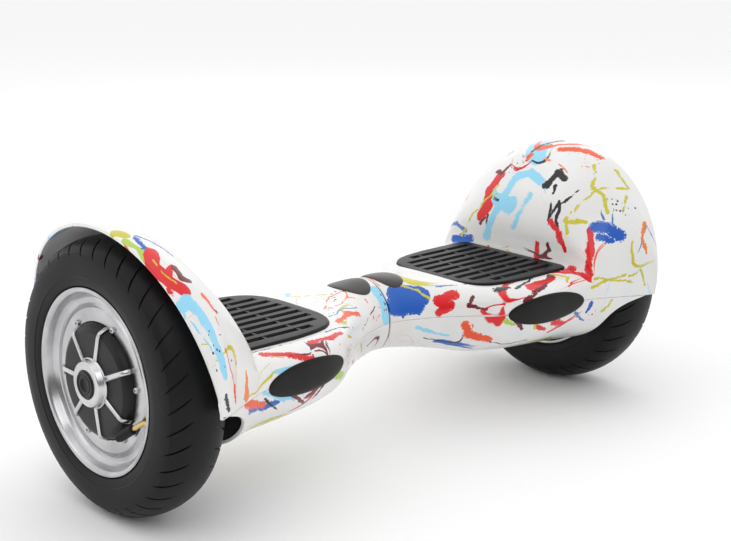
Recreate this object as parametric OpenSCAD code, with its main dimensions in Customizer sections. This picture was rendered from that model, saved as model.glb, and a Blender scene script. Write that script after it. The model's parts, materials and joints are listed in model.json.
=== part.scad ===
// Self balancing board with two hub-motor wheels.
// +X runs along the wheel axle to the right, +Y to the rear, +Z up; the floor is at z = 0.
// Every module draws the right half; the left half is its mirror image.

/* [Wheels] */
// Outer diameter of the tyres
wheel_d = 254; // [220:1:310]
// Distance between the centre planes of the two wheels
track = 588; // [500:1:710]
// Width of each tyre
tyre_w = 62; // [52:1:75]
// Diameter of the lip of each rim
rim_d = 170.4; // [150:0.2:180]
// Bore of the rim barrel, which holds the magnet ring
motor_d = 136; // [125:1:140]
// Axial length of the magnets and the stator core
core_w = 22; // [18:1:22]
// Distance from the wheel's centre plane to the face of the hub plug
hub_out = 38; // [35:0.5:45]
// Number of ribs on the motor cover
spoke_count = 7; // [5:1:9]
// Number of screws that hold the motor cover
cover_screw_count = 6; // [4:1:8]

/* [Axle and pivot] */
// Diameter of each wheel axle
axle_d = 15; // [12:0.5:17]
// Outer diameter of the wheel bearings
bearing_d = 35; // [32:1:37]
// Width of the wheel bearings
bearing_w = 11; // [9:1:12]
// Outer diameter of the tube that joins the two halves
pivot_d = 30; // [26:1:34]
// Bore of that tube, which carries the cables
pivot_bore = 21; // [16:1:23]
// Radial running clearance of bearings and bushes
run_fit = 0.05; // [0.03:0.01:0.09]

/* [Body] */
// Diameter of the neck where the halves meet
neck_d = 74; // [70:1:90]
// Gap between the two halves
neck_gap = 1.8; // [1.4:0.1:3]
// Half width of the body under the foot pads
deck_half_w = 107; // [98:1:130]
// Height of the deck above the axle
deck_h = 25; // [23:0.5:32]
// Depth of the belly below the axle, halfway along the deck
belly = 62.5; // [58:0.5:76]
// Drop of the seam between the shells below the axle
seam_drop = 3.5; // [2:0.5:6]
// Wall of the top and bottom shells
wall = 3; // [2.5:0.1:3.6]
// Distance from the hood's inner wall to the wheel's centre plane
hood_reach = 67; // [64:1:80]
// Air between the tyre and the hood at its top
hood_air = 10.5; // [9:0.5:16]
// How far the hood overhangs the wheel's centre plane at its top
hood_over = 23; // [15:1:28]

/* [Foot pads] */
// Distance from the pivot to the pad's inner edge
pad_x0 = 90; // [84:1:104]
// Half length of the pad from front to rear
pad_half = 77; // [66:1:84]
// Travel of the pad when a foot presses it
pad_travel = 1.2; // [0.8:0.1:1.5]
// Gap round the pad and the power button
slip = 0.4; // [0.3:0.05:0.6]

/* [Lights] */
// Length of each front light
lamp_len = 101; // [80:1:110]
// Height of each front light
lamp_h = 31; // [24:1:36]
// Distance from the pivot to the middle of the front light
lamp_x = 163; // [150:1:175]
// How far the lenses stand out of the shell
lens_out = 1.8; // [1:0.1:2.5]
// Length of the indicator lens along the neck
marker_len = 37; // [28:1:40]
// Width of the indicator lens across the neck
marker_w = 50; // [36:1:56]

/* [Power] */
// Length of the battery pack
battery_len = 112; // [90:1:118]
// Height of the battery pack
battery_h = 34; // [28:1:36]
// Diameter of the power button
button_d = 15; // [12:0.5:18]
// Travel of the power button
button_travel = 1.2; // [0.8:0.1:1.6]
// Diameter of the charging socket
socket_d = 15; // [12:0.5:16]

/* [Hidden] */

eps = 0.01;
touch = 0.02;
$fn = 64;

wheel_r = wheel_d / 2;
wheel_x = track / 2;
rim_r = rim_d / 2;
motor_r = motor_d / 2;
axle_r = axle_d / 2;
bearing_r = bearing_d / 2;
pivot_r = pivot_d / 2;
neck_r = neck_d / 2;
half_gap = neck_gap / 2;
hood_x = wheel_x - hood_reach;
hood_r = wheel_r + hood_air + wall;
lip_x = wheel_x - 4.5;
tub_end = hood_x + 17;

// ---- helpers -------------------------------------------------------------

module on_side(right) {
    if (right) children();
    else mirror([1, 0, 0]) children();
}

// Lifts a child drawn about the axle line to the height of the axle.
module at_axle() {
    translate([0, 0, wheel_r]) children();
}

// Turns a child drawn along +Z to run along +X, at the wheel's centre plane.
module at_wheel() {
    translate([wheel_x, 0, wheel_r]) rotate([0, 90, 0]) children();
}

// The turn, in at_wheel(), that points to an angle up from the front.
function wheel_turn(a) = -90 - a;

// A solid of revolution from a profile of [radius, distance out] points.
module turned(profile) {
    rotate_extrude($fn = 96) polygon(profile);
}

module rod_x(x0, x1, r) {
    translate([x0, 0, wheel_r]) rotate([0, 90, 0]) cylinder(r = r, h = x1 - x0);
}

module box(lo, hi) {
    translate(lo) cube(hi - lo);
}

function mix(a, b, t) = a + (b - a) * t;

// Smooth value at x from a table of [x, value, ...] rows, by Catmull-Rom segments.
function row_of(t, x, i = 0) = i >= len(t) - 2 || x < t[i + 1][0] ? i : row_of(t, x, i + 1);
function slope(t, i, c) = i <= 0 ? (t[1][c] - t[0][c]) / (t[1][0] - t[0][0])
    : i >= len(t) - 1 ? (t[i][c] - t[i - 1][c]) / (t[i][0] - t[i - 1][0])
    : (t[i + 1][c] - t[i - 1][c]) / (t[i + 1][0] - t[i - 1][0]);
function hermite(a, b, ma, mb, u) =
    a * (1 + 2 * u) * (1 - u) * (1 - u) + ma * u * (1 - u) * (1 - u)
    + b * u * u * (3 - 2 * u) - mb * u * u * (1 - u);
function smooth_at(t, x, c = 1) =
    let (i = row_of(t, x), w = t[i + 1][0] - t[i][0], u = (x - t[i][0]) / w)
    hermite(t[i][c], t[i + 1][c], slope(t, i, c) * w, slope(t, i + 1, c) * w, u);

// ---- form of the body ----------------------------------------------------

// Half width and belly depth against the distance from the pivot.
waist_w = deck_half_w - 7;
body_plan = [
    [half_gap, neck_r, neck_r],
    [13, neck_r + 1.3, neck_r + 0.6],
    [33, mix(neck_r, waist_w, 0.14), mix(neck_r, belly, 0.13)],
    [54, mix(neck_r, waist_w, 0.29), mix(neck_r, belly, 0.28)],
    [79, mix(neck_r, waist_w, 0.55), mix(neck_r, belly, 0.5)],
    [104, mix(neck_r, waist_w, 0.83), mix(neck_r, belly, 0.76)],
    [131, waist_w, belly - 2.5],
    [161, deck_half_w - 2, belly],
    [hood_x - 34, deck_half_w, belly + 2.5],
    [hood_x - 8, deck_half_w + 3, belly + 4],
    [hood_x + 11, mix(deck_half_w, hood_r + 4, 0.3), belly + 5],
    [hood_x + 34, mix(deck_half_w, hood_r + 4, 0.6), belly + 6],
    [lip_x - 14, mix(deck_half_w, hood_r + 4, 0.82), belly + 6],
    [lip_x + 2, hood_r + 4, belly + 6]];

// Ridge of the top shell: distance from the pivot, height above the axle and squareness.
ridge = [
    [half_gap, neck_r, 2],
    [18, neck_r - 0.4, 2],
    [40, mix(neck_r, deck_h, 0.25), 2.1],
    [65, mix(neck_r, deck_h, 0.62), 2.6],
    [92, mix(neck_r, deck_h, 0.92), 3.4],
    [125, deck_h, 4],
    [hood_x - 46, deck_h, 4],
    [hood_x - 9, deck_h + 0.3, 4],
    [hood_x - 3, deck_h + 2, 3.7],
    [hood_x - 0.6, deck_h + 14, 3.1],
    [hood_x + 1.5, mix(deck_h, hood_r, 0.33), 2.6],
    [hood_x + 12, mix(deck_h, hood_r, 0.56), 2.25],
    [hood_x + 28, mix(deck_h, hood_r, 0.75), 2.1],
    [hood_x + 44, mix(deck_h, hood_r, 0.89), 2],
    [hood_x + 60, mix(deck_h, hood_r, 0.97), 2],
    [hood_x + 76, hood_r + 1, 2],
    [wheel_x + hood_over, hood_r, 2]];
belly_round = 2.3;

// Distance from the pivot at which each shell ends, at an angle up from the front.
function top_end(a) = mix(lip_x, wheel_x + hood_over, max(0, sin(a)));
function bottom_end(a) = mix(tub_end, lip_x, pow(1 - abs(sin(a)), 7));

function ridge_at(s, c) =
    let (i = min(floor(s), len(ridge) - 2), u = s - i,
         p = ridge[max(i - 1, 0)][c], q = ridge[i][c],
         r = ridge[i + 1][c], t = ridge[min(i + 2, len(ridge) - 1)][c])
    hermite(q, r, (r - p) / 2, (t - q) / 2, u);

function power(v, n) = sign(v) * pow(abs(v), 2 / n);

// A point of the outer surface above the axle, at ridge row s and angle a.
function top_point(s, a) =
    let (x0 = ridge_at(s, 0),
         x = x0 <= hood_x ? x0 : hood_x + (x0 - hood_x) * (top_end(a) - hood_x)
             / (wheel_x + hood_over - hood_x),
         half = smooth_at(body_plan, min(x, lip_x + 2)),
         n = sin(a) < 0 ? belly_round : ridge_at(s, 2),
         up = sin(a) < 0 ? smooth_at(body_plan, min(x, lip_x + 2), 2) : ridge_at(s, 1))
    [x, -half * power(cos(a), n), wheel_r + up * power(sin(a), n)];

// A point of the outer surface below the axle, at a share t of the way out and angle a.
function bottom_point(t, a) =
    let (x = mix(half_gap, bottom_end(a), t),
         half = smooth_at(body_plan, x),
         deep = smooth_at(body_plan, x, 2))
    [x, -half * power(cos(a), belly_round), wheel_r + deep * power(sin(a), belly_round)];

function outer_point(top, s, a) = top ? top_point(s, a) : bottom_point(s, a);

// The outer surface moved by d along its own normal.
function skin_point(top, s, a, d) =
    let (e = top ? 0.04 : 0.004, s0 = max(s - e, 0), s1 = min(s + e, top ? len(ridge) - 1 : 1),
         along = outer_point(top, s1, a) - outer_point(top, s0, a),
         round = outer_point(top, s, a + 0.7) - outer_point(top, s, a - 0.7),
         n = cross(along, round))
    outer_point(top, s, a) + n / norm(n) * d;

// A closed sheet between two offsets of the surface, over rows ss and angles aa.
module skin(top, ss, aa, outside, inside) {
    m = len(ss);
    k = len(aa);
    points = concat(
        [for (s = ss, a = aa) skin_point(top, s, a, outside)],
        [for (s = ss, a = aa) skin_point(top, s, a, inside)]);
    back = m * k;
    quads = concat(
        [for (i = [0:m - 2], j = [0:k - 2])
            [i * k + j, i * k + j + 1, (i + 1) * k + j + 1, (i + 1) * k + j]],
        [for (i = [0:m - 2], j = [0:k - 2])
            [back + i * k + j, back + (i + 1) * k + j, back + (i + 1) * k + j + 1, back + i * k + j + 1]],
        [for (i = [0:m - 2]) [i * k, (i + 1) * k, back + (i + 1) * k, back + i * k]],
        [for (i = [0:m - 2])
            [(i + 1) * k - 1, back + (i + 1) * k - 1, back + (i + 2) * k - 1, (i + 2) * k - 1]],
        [for (j = [0:k - 2]) [j, back + j, back + j + 1, j + 1]],
        [for (j = [0:k - 2])
            [(m - 1) * k + j, (m - 1) * k + j + 1, back + (m - 1) * k + j + 1, back + (m - 1) * k + j]]);
    polyhedron(points, [for (q = quads) each [[q[0], q[1], q[2]], [q[0], q[2], q[3]]]]);
}

// Depth of the belly below the axle at a place in plan.
function belly_at(x, y) =
    let (half = smooth_at(body_plan, x), deep = smooth_at(body_plan, x, 2))
    deep * pow(1 - pow(abs(y) / half, belly_round), 1 / belly_round);

// Turns a child drawn along +Z to stand on the bottom shell, at a share t and angle a.
module on_belly(t, a) {
    p = skin_point(false, t, a, 0);
    n = skin_point(false, t, a, 1) - p;
    translate(p) rotate([0, acos(n[2] / norm(n)), atan2(n[1], n[0])]) children();
}

// A round bar between two points.
module bar(p, q, r) {
    v = q - p;
    translate(p) rotate([0, acos(v[2] / norm(v)), atan2(v[1], v[0])])
        cylinder(r = r, h = norm(v), $fn = 32);
}

// ---- shells --------------------------------------------------------------

seam_gap = 0.15;
seam_a = asin(pow(seam_drop / belly, belly_round / 2));
seam_top = asin(pow((seam_drop - seam_gap) / belly, belly_round / 2));
top_rows = concat([0, 1, 2], [for (i = [6:30]) i / 2], [15.5, 16]);
top_angles = concat([-seam_top], [for (i = [0:16]) i * 11.25], [180 + seam_top]);
low_rows = [for (i = [0:14]) i / 14];
low_angles = [for (i = [0:16]) mix(seam_a - 180, -seam_a, i / 16)];
post_xs = [pad_x0 + 40, hood_x - 13];
post_y = 50;
post_r = 6;
screw_r = 1.95;
screw_head_r = 4.2;
head_h = 3;
plate_low = -14;
plate_top = -9;
button_at = [0.62, -158];
socket_at = [0.5, -158];
lens_rim = 3;
lens_seat = 0.25;

pad_x1 = hood_x - 3;
pad_plan = [
    [pad_x0, 34], [pad_x0 + 3, 48], [pad_x0 + 10, 60], [pad_x0 + 22, pad_half - 8],
    [pad_x0 + 40, pad_half - 3], [pad_x0 + 66, pad_half], [pad_x1 - 8, pad_half],
    [pad_x1 - 2.5, pad_half - 2.5], [pad_x1, pad_half - 9]];
module pad_outline() {
    polygon(concat(pad_plan, [for (i = [len(pad_plan) - 1:-1:0]) [pad_plan[i][0], -pad_plan[i][1]]]));
}

// An oval block through the front of the body, for the front light and its window.
module lamp_oval(trim) {
    translate([lamp_x, 0, wheel_r - seam_drop]) rotate([90, 0, 0])
        scale([lamp_len / 2 - trim, lamp_h / 2 - trim, 1]) cylinder(r = 1, h = hood_r * 2, $fn = 48);
}

// An oval block through the top of the neck, for the indicator and its window.
module marker_oval(trim) {
    translate([half_gap + 3 + marker_len / 2, 0, wheel_r])
        scale([marker_len / 2 - trim, marker_w / 2 - trim, 1]) cylinder(r = 1, h = neck_r * 2, $fn = 48);
}

// The resize of nothing makes each shell one mesh, which suits its free-form surface.
module top_shell(right) {
    color("white") on_side(right) resize([0, 0, 0]) difference() {
        skin(true, top_rows, top_angles, 0, -wall);
        translate([0, 0, wheel_r + 8]) linear_extrude(30) offset(delta = slip) pad_outline();
        lamp_oval(lens_rim);
        marker_oval(lens_rim);
    }
}

module bottom_shell(right) {
    color("white") on_side(right) resize([0, 0, 0]) difference() {
        union() {
            skin(false, low_rows, low_angles, 0, -wall);
            for (x = post_xs, y = [-post_y, post_y])
                translate([x, y, wheel_r - post_foot(x)])
                    cylinder(r = post_r, h = post_foot(x) + plate_low - touch, $fn = 24);
        }
        lamp_oval(lens_rim);
        for (x = post_xs, y = [-post_y, post_y]) translate([x, y, 0]) {
            cylinder(r = screw_head_r + 0.3, h = wheel_r - post_foot(x) + 4, $fn = 24);
            cylinder(r = screw_r + 0.2, h = wheel_r, $fn = 24);
        }
        if (right) {
            on_belly(button_at[0], button_at[1])
                cylinder(r = button_d / 2 + slip, h = 40, center = true, $fn = 32);
            on_belly(socket_at[0], socket_at[1])
                cylinder(r = socket_d / 2 + slip, h = 40, center = true, $fn = 32);
        }
    }
}
function post_foot(x) = belly_at(x, post_y + post_r) - 0.8;

// The wall that closes each half beside its wheel.
liner_w = 2.5;
liner_x = hood_x + 14.5;
function liner_edge(top, a, lo, hi, n = 14) =
    let (m = (lo + hi) / 2, p = skin_point(top, m, a, -wall - 0.6))
    n == 0 ? p : p[0] > liner_x ? liner_edge(top, a, lo, m, n - 1) : liner_edge(top, a, m, hi, n - 1);
module arch_liner(right) {
    edge = concat([for (i = [0:24]) liner_edge(true, i * 7.5, 9, 14)],
        [for (i = [1:23]) liner_edge(false, -180 + i * 7.5, 0.7, 1)]);
    color("dimgray") on_side(right) difference() {
        translate([liner_x, 0, 0]) rotate([90, 0, 90]) linear_extrude(liner_w)
            polygon([for (p = edge) [p[1], p[2]]]);
        rod_x(liner_x - 1, liner_x + liner_w + 1, axle_r + 1);
    }
}

module headlight_lens(right) {
    color([0.08, 0.08, 0.09]) on_side(right) resize([0, 0, 0]) intersection() {
        skin(true, [for (i = [16:29]) i / 4],
            concat([for (i = [5:-1:1]) -4.4 * i], [for (i = [0:8]) 0.45 * i * i]), lens_out, lens_seat);
        lamp_oval(0);
    }
}

module indicator_lens(right) {
    color([0.2, 0.2, 0.22]) on_side(right) resize([0, 0, 0]) intersection() {
        skin(true, [for (i = [0:10]) i / 4 + 0.05], [for (i = [0:14]) mix(30, 150, i / 14)],
            lens_out - 0.3, lens_seat);
        marker_oval(0);
    }
}

// ---- inside each half ----------------------------------------------------

hub_r = neck_r - 10;
hub_end = 46;
bush_wall = 3;
rail_y = 60;
rail_w = 6;
rail_top = 6;
block_x0 = hood_x - 24;
block_half = 24;
clamp_top = 12;
bolt_r = 2.5;
bolt_xs = [block_x0 + 8, liner_x - 10];
bolt_y = 16;

module frame(right) {
    bore = right ? pivot_r + bush_wall : pivot_r;
    color("silver") on_side(right) difference() {
        union() {
            rod_x(half_gap, hub_end, hub_r);
            translate([0, 0, wheel_r + plate_low]) linear_extrude(plate_top - plate_low)
                polygon([[22, -hub_r + 2], [60, -42], [pad_x0 + 16, -rail_y], [liner_x, -rail_y],
                    [liner_x, rail_y], [pad_x0 + 16, rail_y], [60, 42], [22, hub_r - 2]]);
            for (side = [-1, 1]) at_axle() box(
                [pad_x0 + 18, side * (rail_y - rail_w / 2) - rail_w / 2, plate_low],
                [liner_x, side * (rail_y - rail_w / 2) + rail_w / 2, rail_top]);
            at_axle() box([block_x0, -block_half, plate_low], [liner_x, block_half, 0]);
            for (y = [-30, 0, 30]) at_axle()
                box([hub_end + 20, y - 2, plate_top - 1], [block_x0, y + 2, plate_top + 6]);
        }
        rod_x(0, hub_end + 1, bore + touch);
        rod_x(hub_end, hub_end + 14, pivot_r + 6);
        rod_x(block_x0 - 1, liner_x + 1, axle_r + touch);
        for (x = bolt_xs, y = [-bolt_y, bolt_y]) translate([x, y, wheel_r + plate_low - 1])
            cylinder(r = bolt_r + touch, h = 20);
        for (x = post_xs, y = [-post_y, post_y]) translate([x, y, wheel_r + plate_low - 1])
            cylinder(r = screw_r + touch, h = 8);
    }
}

module axle_clamp(right) {
    color("gray") on_side(right) difference() {
        at_axle() box([block_x0, -block_half, touch], [liner_x, block_half, clamp_top]);
        rod_x(block_x0 - 1, liner_x + 1, axle_r + touch);
        for (x = bolt_xs, y = [-bolt_y, bolt_y]) translate([x, y, wheel_r - 1])
            cylinder(r = bolt_r + touch, h = 20);
    }
}

module fasteners(right) {
    color("dimgray") on_side(right) {
        for (x = post_xs, y = [-post_y, post_y]) translate([x, y, wheel_r - post_foot(x) + 4 - head_h]) {
            cylinder(r = screw_head_r, h = head_h);
            cylinder(r = screw_r, h = post_foot(x) + plate_top + head_h - 4);
        }
        for (x = bolt_xs, y = [-bolt_y, bolt_y]) translate([x, y, wheel_r + clamp_top + touch]) {
            cylinder(r = bolt_r + 1.8, h = 4);
            translate([0, 0, plate_low - clamp_top + 1]) cylinder(r = bolt_r, h = clamp_top - plate_low);
        }
    }
}

pad_low = deck_h - 5.5;
pad_top = deck_h + 1;
blade_x = pad_x0 + 62;
blade_y = 36;
module foot_pad(right) {
    groove_step = (pad_half * 2 - 18) / 9;
    color([0.16, 0.16, 0.17]) on_side(right) difference() {
        union() {
            translate([0, 0, wheel_r + pad_low]) linear_extrude(pad_top - pad_low) pad_outline();
            for (y = [-blade_y, blade_y]) at_axle()
                box([blade_x - 6, y - 1, pad_low - 8], [blade_x + 6, y + 1, pad_low + 1]);
        }
        for (i = [0:8]) let (y = -pad_half + 9 + (i + 0.5) * groove_step) at_axle()
            box([pad_x0 + (abs(y) > 50 ? 30 : 12), y - 2.2, pad_top - 3],
                [pad_x1 - 9, y + 2.2, pad_top + 1]);
    }
}

module sensor_board(right) {
    color("darkgreen") on_side(right) at_axle() difference() {
        union() {
            box([pad_x0 + 22, -rail_y, rail_top + touch], [block_x0 - 4, rail_y, rail_top + 1.6]);
            for (y = [-blade_y, blade_y])
                box([blade_x - 10, y - 6, rail_top + 1], [blade_x + 10, y + 6, pad_low - 4]);
            box([blade_x - 9, -9, rail_top + 1], [blade_x + 9, 9, rail_top + 3.4]);
        }
        for (y = [-blade_y, blade_y])
            box([blade_x - 8, y - 2, pad_low - 8 - pad_travel - 1], [blade_x + 8, y + 2, pad_low]);
    }
}

module light_boards(right) {
    board_y = -deck_half_w + 19;
    color("darkgreen") on_side(right) at_axle() {
        box([lamp_x - 34, board_y, -seam_drop - 8], [lamp_x + 34, board_y + 1.6, -seam_drop + 8]);
        for (x = [lamp_x - 24, lamp_x + 20])
            box([x, board_y + 1, -seam_drop - 3], [x + 4, -rail_y - touch, -seam_drop + 3]);
        for (i = [-3:3]) translate([lamp_x + i * 9, board_y + eps, -seam_drop]) rotate([90, 0, 0])
            cylinder(r = 2, h = 1.5, $fn = 24);
        translate([half_gap + 3 + marker_len / 2, 0, hub_r - 0.4])
            box([-9, -7, 0.5], [9, 7, 2.1]);
    }
}

// ---- axle and hub motor --------------------------------------------------

stator_r = motor_r - 7.2;
ring_u = 20.5;
ring_r = 53;
barrel_r = motor_r + 6;
cover_screw_r = 56.5;
cover_screw_shank = 1.9;
face_u = 28.4;
boss_r = 23.3;
plug_r = 13.2;
slots = 18;
coil_half = core_w / 2 + 1.6;

module axle(right) {
    color("silver") on_side(right) union() {
        rod_x(block_x0 + 2, wheel_x + 30, axle_r);
        rod_x(liner_x + liner_w + 1, wheel_x - 23, axle_r + 3);
    }
}

module stator(right) {
    color("slategray") on_side(right) at_wheel() difference() {
        union() {
            cylinder(r = 36, h = core_w, center = true);
            intersection() {
                cylinder(r = stator_r, h = core_w, center = true);
                for (i = [0:slots - 1]) rotate(i * 360 / slots) translate([20, -3, -core_w / 2])
                    cube([stator_r, 6, core_w]);
            }
        }
        cylinder(r = axle_r + touch, h = core_w * 2, center = true);
    }
}

module windings(right) {
    color("chocolate") on_side(right) at_wheel()
        for (i = [0:slots - 1]) rotate(i * 360 / slots) difference() {
            translate([38, -5, -coil_half]) cube([18, 10, coil_half * 2]);
            translate([37, -3.1, -core_w / 2 - 0.1]) cube([20, 6.2, core_w + 0.2]);
        }
}

module bearings(right) {
    color("silver") on_side(right) at_wheel() for (u = [13.4, -22.6])
        turned([[axle_r + run_fit, u], [bearing_r, u], [bearing_r, u + bearing_w],
            [axle_r + run_fit, u + bearing_w]]);
}

module magnet_ring(right) {
    poles = 20;
    color("dimgray") on_side(right) at_wheel() union() {
        difference() {
            cylinder(r = motor_r - touch, h = core_w + 1, center = true, $fn = 96);
            cylinder(r = motor_r - 3.2, h = core_w + 3, center = true, $fn = 96);
        }
        for (i = [0:poles - 1]) rotate(i * 360 / poles)
            translate([motor_r - 6.4, -6, -core_w / 2]) cube([3.6, 12, core_w]);
    }
}

module inner_cover(right) {
    seat = -19.3;
    color([0.1, 0.1, 0.1]) on_side(right) at_wheel()
        turned([[bearing_r, -11.6], [bearing_r, -22.6], [axle_r + 4.5, -22.6], [axle_r + 4.5, -24.6],
            [26, -24.6], [60, -22.4], [72, -22.4], [72, seat - touch], [58, seat - touch],
            [24, -21], [22, -19], [22, -11.6]]);
}

module outer_cover(right) {
    color([0.1, 0.1, 0.1]) on_side(right) at_wheel() difference() {
        turned([[bearing_r, 12.6], [bearing_r, 13.4 + bearing_w], [plug_r + 1, 13.4 + bearing_w],
            [plug_r + 1, face_u], [46, face_u], [50, 26], [ring_r - 0.2, ring_u],
            [ring_r - 0.2, ring_u - 4.05], [motor_r - 1.4, ring_u - 4.05], [motor_r - 1.4, 13.5],
            [50, 13.5], [48.5, 22.5], [44, 25], [23, 25], [22, 12.6]]);
        for (i = [0:cover_screw_count - 1]) rotate(cover_screw_a(i)) translate([cover_screw_r, 0, 10])
            cylinder(r = cover_screw_shank + touch, h = 20);
    }
}
function cover_screw_a(i) = wheel_turn(6 + i * 360 / cover_screw_count);

// The bright casting on the motor cover: a hub boss and flat ribs that drop to the rim.
module spider(right) {
    color("silver") on_side(right) at_wheel() union() {
        turned([[plug_r, face_u + touch], [boss_r, face_u + touch], [boss_r, face_u + 1.6],
            [boss_r - 1.2, face_u + 2.4], [20.4, hub_out - 2.2], [19, hub_out - 1.4],
            [plug_r, hub_out - 1.4]]);
        for (i = [0:spoke_count - 1]) rotate(wheel_turn(23.4 + i * 360 / spoke_count)) rotate([90, 0, 0])
            linear_extrude(4.2, center = true)
                polygon([[boss_r - 6, face_u + 0.1], [46, face_u + 0.1], [50.1, 26.1],
                    [ring_r, ring_u + 0.1], [ring_r + 0.4, ring_u + 0.1], [ring_r + 0.4, ring_u + 2.6],
                    [50.5, 29.2], [47, 30.6], [boss_r - 6, 30.6]]);
    }
}

module hub_plug(right) {
    color([0.12, 0.12, 0.13]) on_side(right) at_wheel()
        turned([[0, 31], [plug_r - touch, 31], [plug_r - touch, hub_out - 0.8],
            [plug_r - 1, hub_out], [9.5, hub_out], [8.5, hub_out - 1], [0, hub_out - 1]]);
}

module cover_screws(right) {
    color("silver") on_side(right) at_wheel()
        for (i = [0:cover_screw_count - 1]) rotate(cover_screw_a(i)) translate([cover_screw_r, 0, 0]) {
            translate([0, 0, ring_u + touch]) cylinder(r = 2.9, h = 2.4);
            translate([0, 0, 14]) cylinder(r = cover_screw_shank, h = ring_u - 13);
        }
}

// ---- rim and tyre --------------------------------------------------------

lip_u = 29.5;
seat_r = rim_r - 5.2;
valve_a = -16;
valve_u = ring_u + 1.1;
valve_r = 3.2;
module rim(right) {
    color("silver") on_side(right) at_wheel() difference() {
        turned([
            [rim_r, lip_u], [rim_r - 3, lip_u], [rim_r - 5.2, lip_u - 2], [rim_r - 7.7, ring_u + 0.5],
            [barrel_r + 0.5, ring_u - 2.9], [barrel_r - 4, ring_u - 3.3], [barrel_r - 7, ring_u - 1.5],
            [barrel_r - 8.5, ring_u], [ring_r, ring_u], [ring_r, ring_u - 4], [motor_r - 1.3, ring_u - 4],
            [motor_r - 1.3, core_w / 2 + 0.6], [motor_r, core_w / 2 + 0.6], [motor_r, -19.3],
            [barrel_r + 0.5, -19.3], [rim_r - 8, -25], [rim_r - 3, -lip_u], [rim_r, -lip_u],
            [rim_r, 3 - lip_u], [seat_r, 3.5 - lip_u], [seat_r - 1, -14], [barrel_r, -11],
            [barrel_r, 11], [seat_r - 1, 14], [seat_r, lip_u - 3.5], [rim_r, lip_u - 3]]);
        for (i = [0:cover_screw_count - 1]) rotate(cover_screw_a(i)) translate([cover_screw_r, 0, 15])
            cylinder(r = cover_screw_shank + 0.2, h = 20);
        rotate(wheel_turn(valve_a)) translate([barrel_r, 0, valve_u]) rotate([0, 90, 0])
            cylinder(r = valve_r + touch, h = 12);
    }
}

tube_mid_r = (wheel_r + seat_r) / 2 - 2.6;
tube_high = tube_mid_r - seat_r - 0.8;
tube_wide = tyre_w / 2 - 4.8;
module inner_tube(right) {
    ring = 2.2;
    color([0.15, 0.15, 0.15]) on_side(right) at_wheel() rotate_extrude($fn = 96) difference() {
        polygon([for (i = [0:31]) [tube_mid_r + tube_high * cos(i * 11.25), tube_wide * sin(i * 11.25)]]);
        polygon([for (i = [0:31]) [tube_mid_r + (tube_high - ring) * cos(i * 11.25),
            (tube_wide - ring) * sin(i * 11.25)]]);
    }
}

module tyre(right) {
    w = tyre_w / 2;
    h = wheel_r - seat_r;
    outside = [[seat_r + 0.2, lip_u - 3.9], [rim_r + 0.6, lip_u - 3.4], [rim_r + 1.4, lip_u - 0.6],
        [seat_r + h * 0.3, w - 0.6], [seat_r + h * 0.5, w], [seat_r + h * 0.7, w - 1.5],
        [seat_r + h * 0.81, w - 4.5], [seat_r + h * 0.91, w - 11], [seat_r + h * 0.98, w - 21],
        [wheel_r, 0]];
    inside = [[wheel_r - 5.5, 0], [wheel_r - 7.5, w - 14], [seat_r + h * 0.7, w - 6.4],
        [seat_r + h * 0.48, w - 4.4], [seat_r + h * 0.22, w - 5.6], [seat_r + 3, w - 10],
        [seat_r + 0.2, w - 14]];
    half = concat(outside, inside);
    color([0.08, 0.08, 0.08]) on_side(right) at_wheel() turned(concat(
        outside, [for (i = [len(outside) - 2:-1:0]) [outside[i][0], -outside[i][1]]],
        [for (i = [len(inside) - 1:-1:0]) [inside[i][0], -inside[i][1]]],
        [for (i = [1:len(inside) - 1]) inside[i]]));
}

// The bent air valve comes through the rim and turns towards the hub.
function on_wheel(r, a, u) = [wheel_x + u, -r * cos(a), wheel_r + r * sin(a)];
valve_root = on_wheel(seat_r - 0.3, valve_a, valve_u);
valve_knee = on_wheel(68.5, valve_a, valve_u);
valve_bend = on_wheel(70.5, valve_a, valve_u);
valve_tip = on_wheel(56, valve_a - 31, valve_u + 9.4);
valve_neck = mix(valve_bend, valve_tip, 0.42);
module valve_stem(right) {
    color("goldenrod") on_side(right) union() {
        bar(valve_root, valve_knee, valve_r);
        bar(valve_bend, valve_neck, 2.5);
    }
}

module valve_cap(right) {
    lead = (valve_tip - valve_neck) / norm(valve_tip - valve_neck);
    color([0.08, 0.08, 0.08]) on_side(right) bar(valve_neck + lead * touch, valve_tip, 4.4);
}

// ---- pivot and power -----------------------------------------------------

tube_end = hub_end + 6;
clip_w = 1.5;
module pivot_tube() {
    color("silver") difference() {
        rod_x(-tube_end, tube_end, pivot_r);
        rod_x(-tube_end - 1, tube_end + 1, pivot_bore / 2);
        for (x = [-hub_end - 0.3 - clip_w, hub_end + 0.3]) difference() {
            rod_x(x - touch, x + clip_w + touch, pivot_r + 1);
            rod_x(x - 1, x + clip_w + 1, pivot_r - 1);
        }
    }
}

module pivot_bushes() {
    color("dimgray") difference() {
        union() {
            rod_x(half_gap - 0.2, 14, pivot_r + bush_wall);
            rod_x(0.3 - half_gap, half_gap - 0.15, neck_r - 1.5);
            rod_x(hub_end - 14, hub_end, pivot_r + bush_wall);
        }
        rod_x(-half_gap - 1, hub_end + 1, pivot_r + run_fit);
    }
}

module pivot_clip() {
    color("dimgray") for (x = [-hub_end - 0.3 - clip_w, hub_end + 0.3]) difference() {
        rod_x(x, x + clip_w, pivot_r + 3.5);
        rod_x(x - 1, x + clip_w + 1, pivot_r - 1 + touch);
        translate([x - 1, -4, wheel_r]) cube([clip_w + 2, 8, pivot_r * 2]);
    }
}

module pivot_cable() {
    color([0.1, 0.1, 0.1]) union() {
        rod_x(-tube_end - 8, tube_end + 8, 5);
        for (x = [-tube_end, tube_end - 6]) rod_x(x, x + 6, pivot_bore / 2 - 0.1);
    }
}

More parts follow.
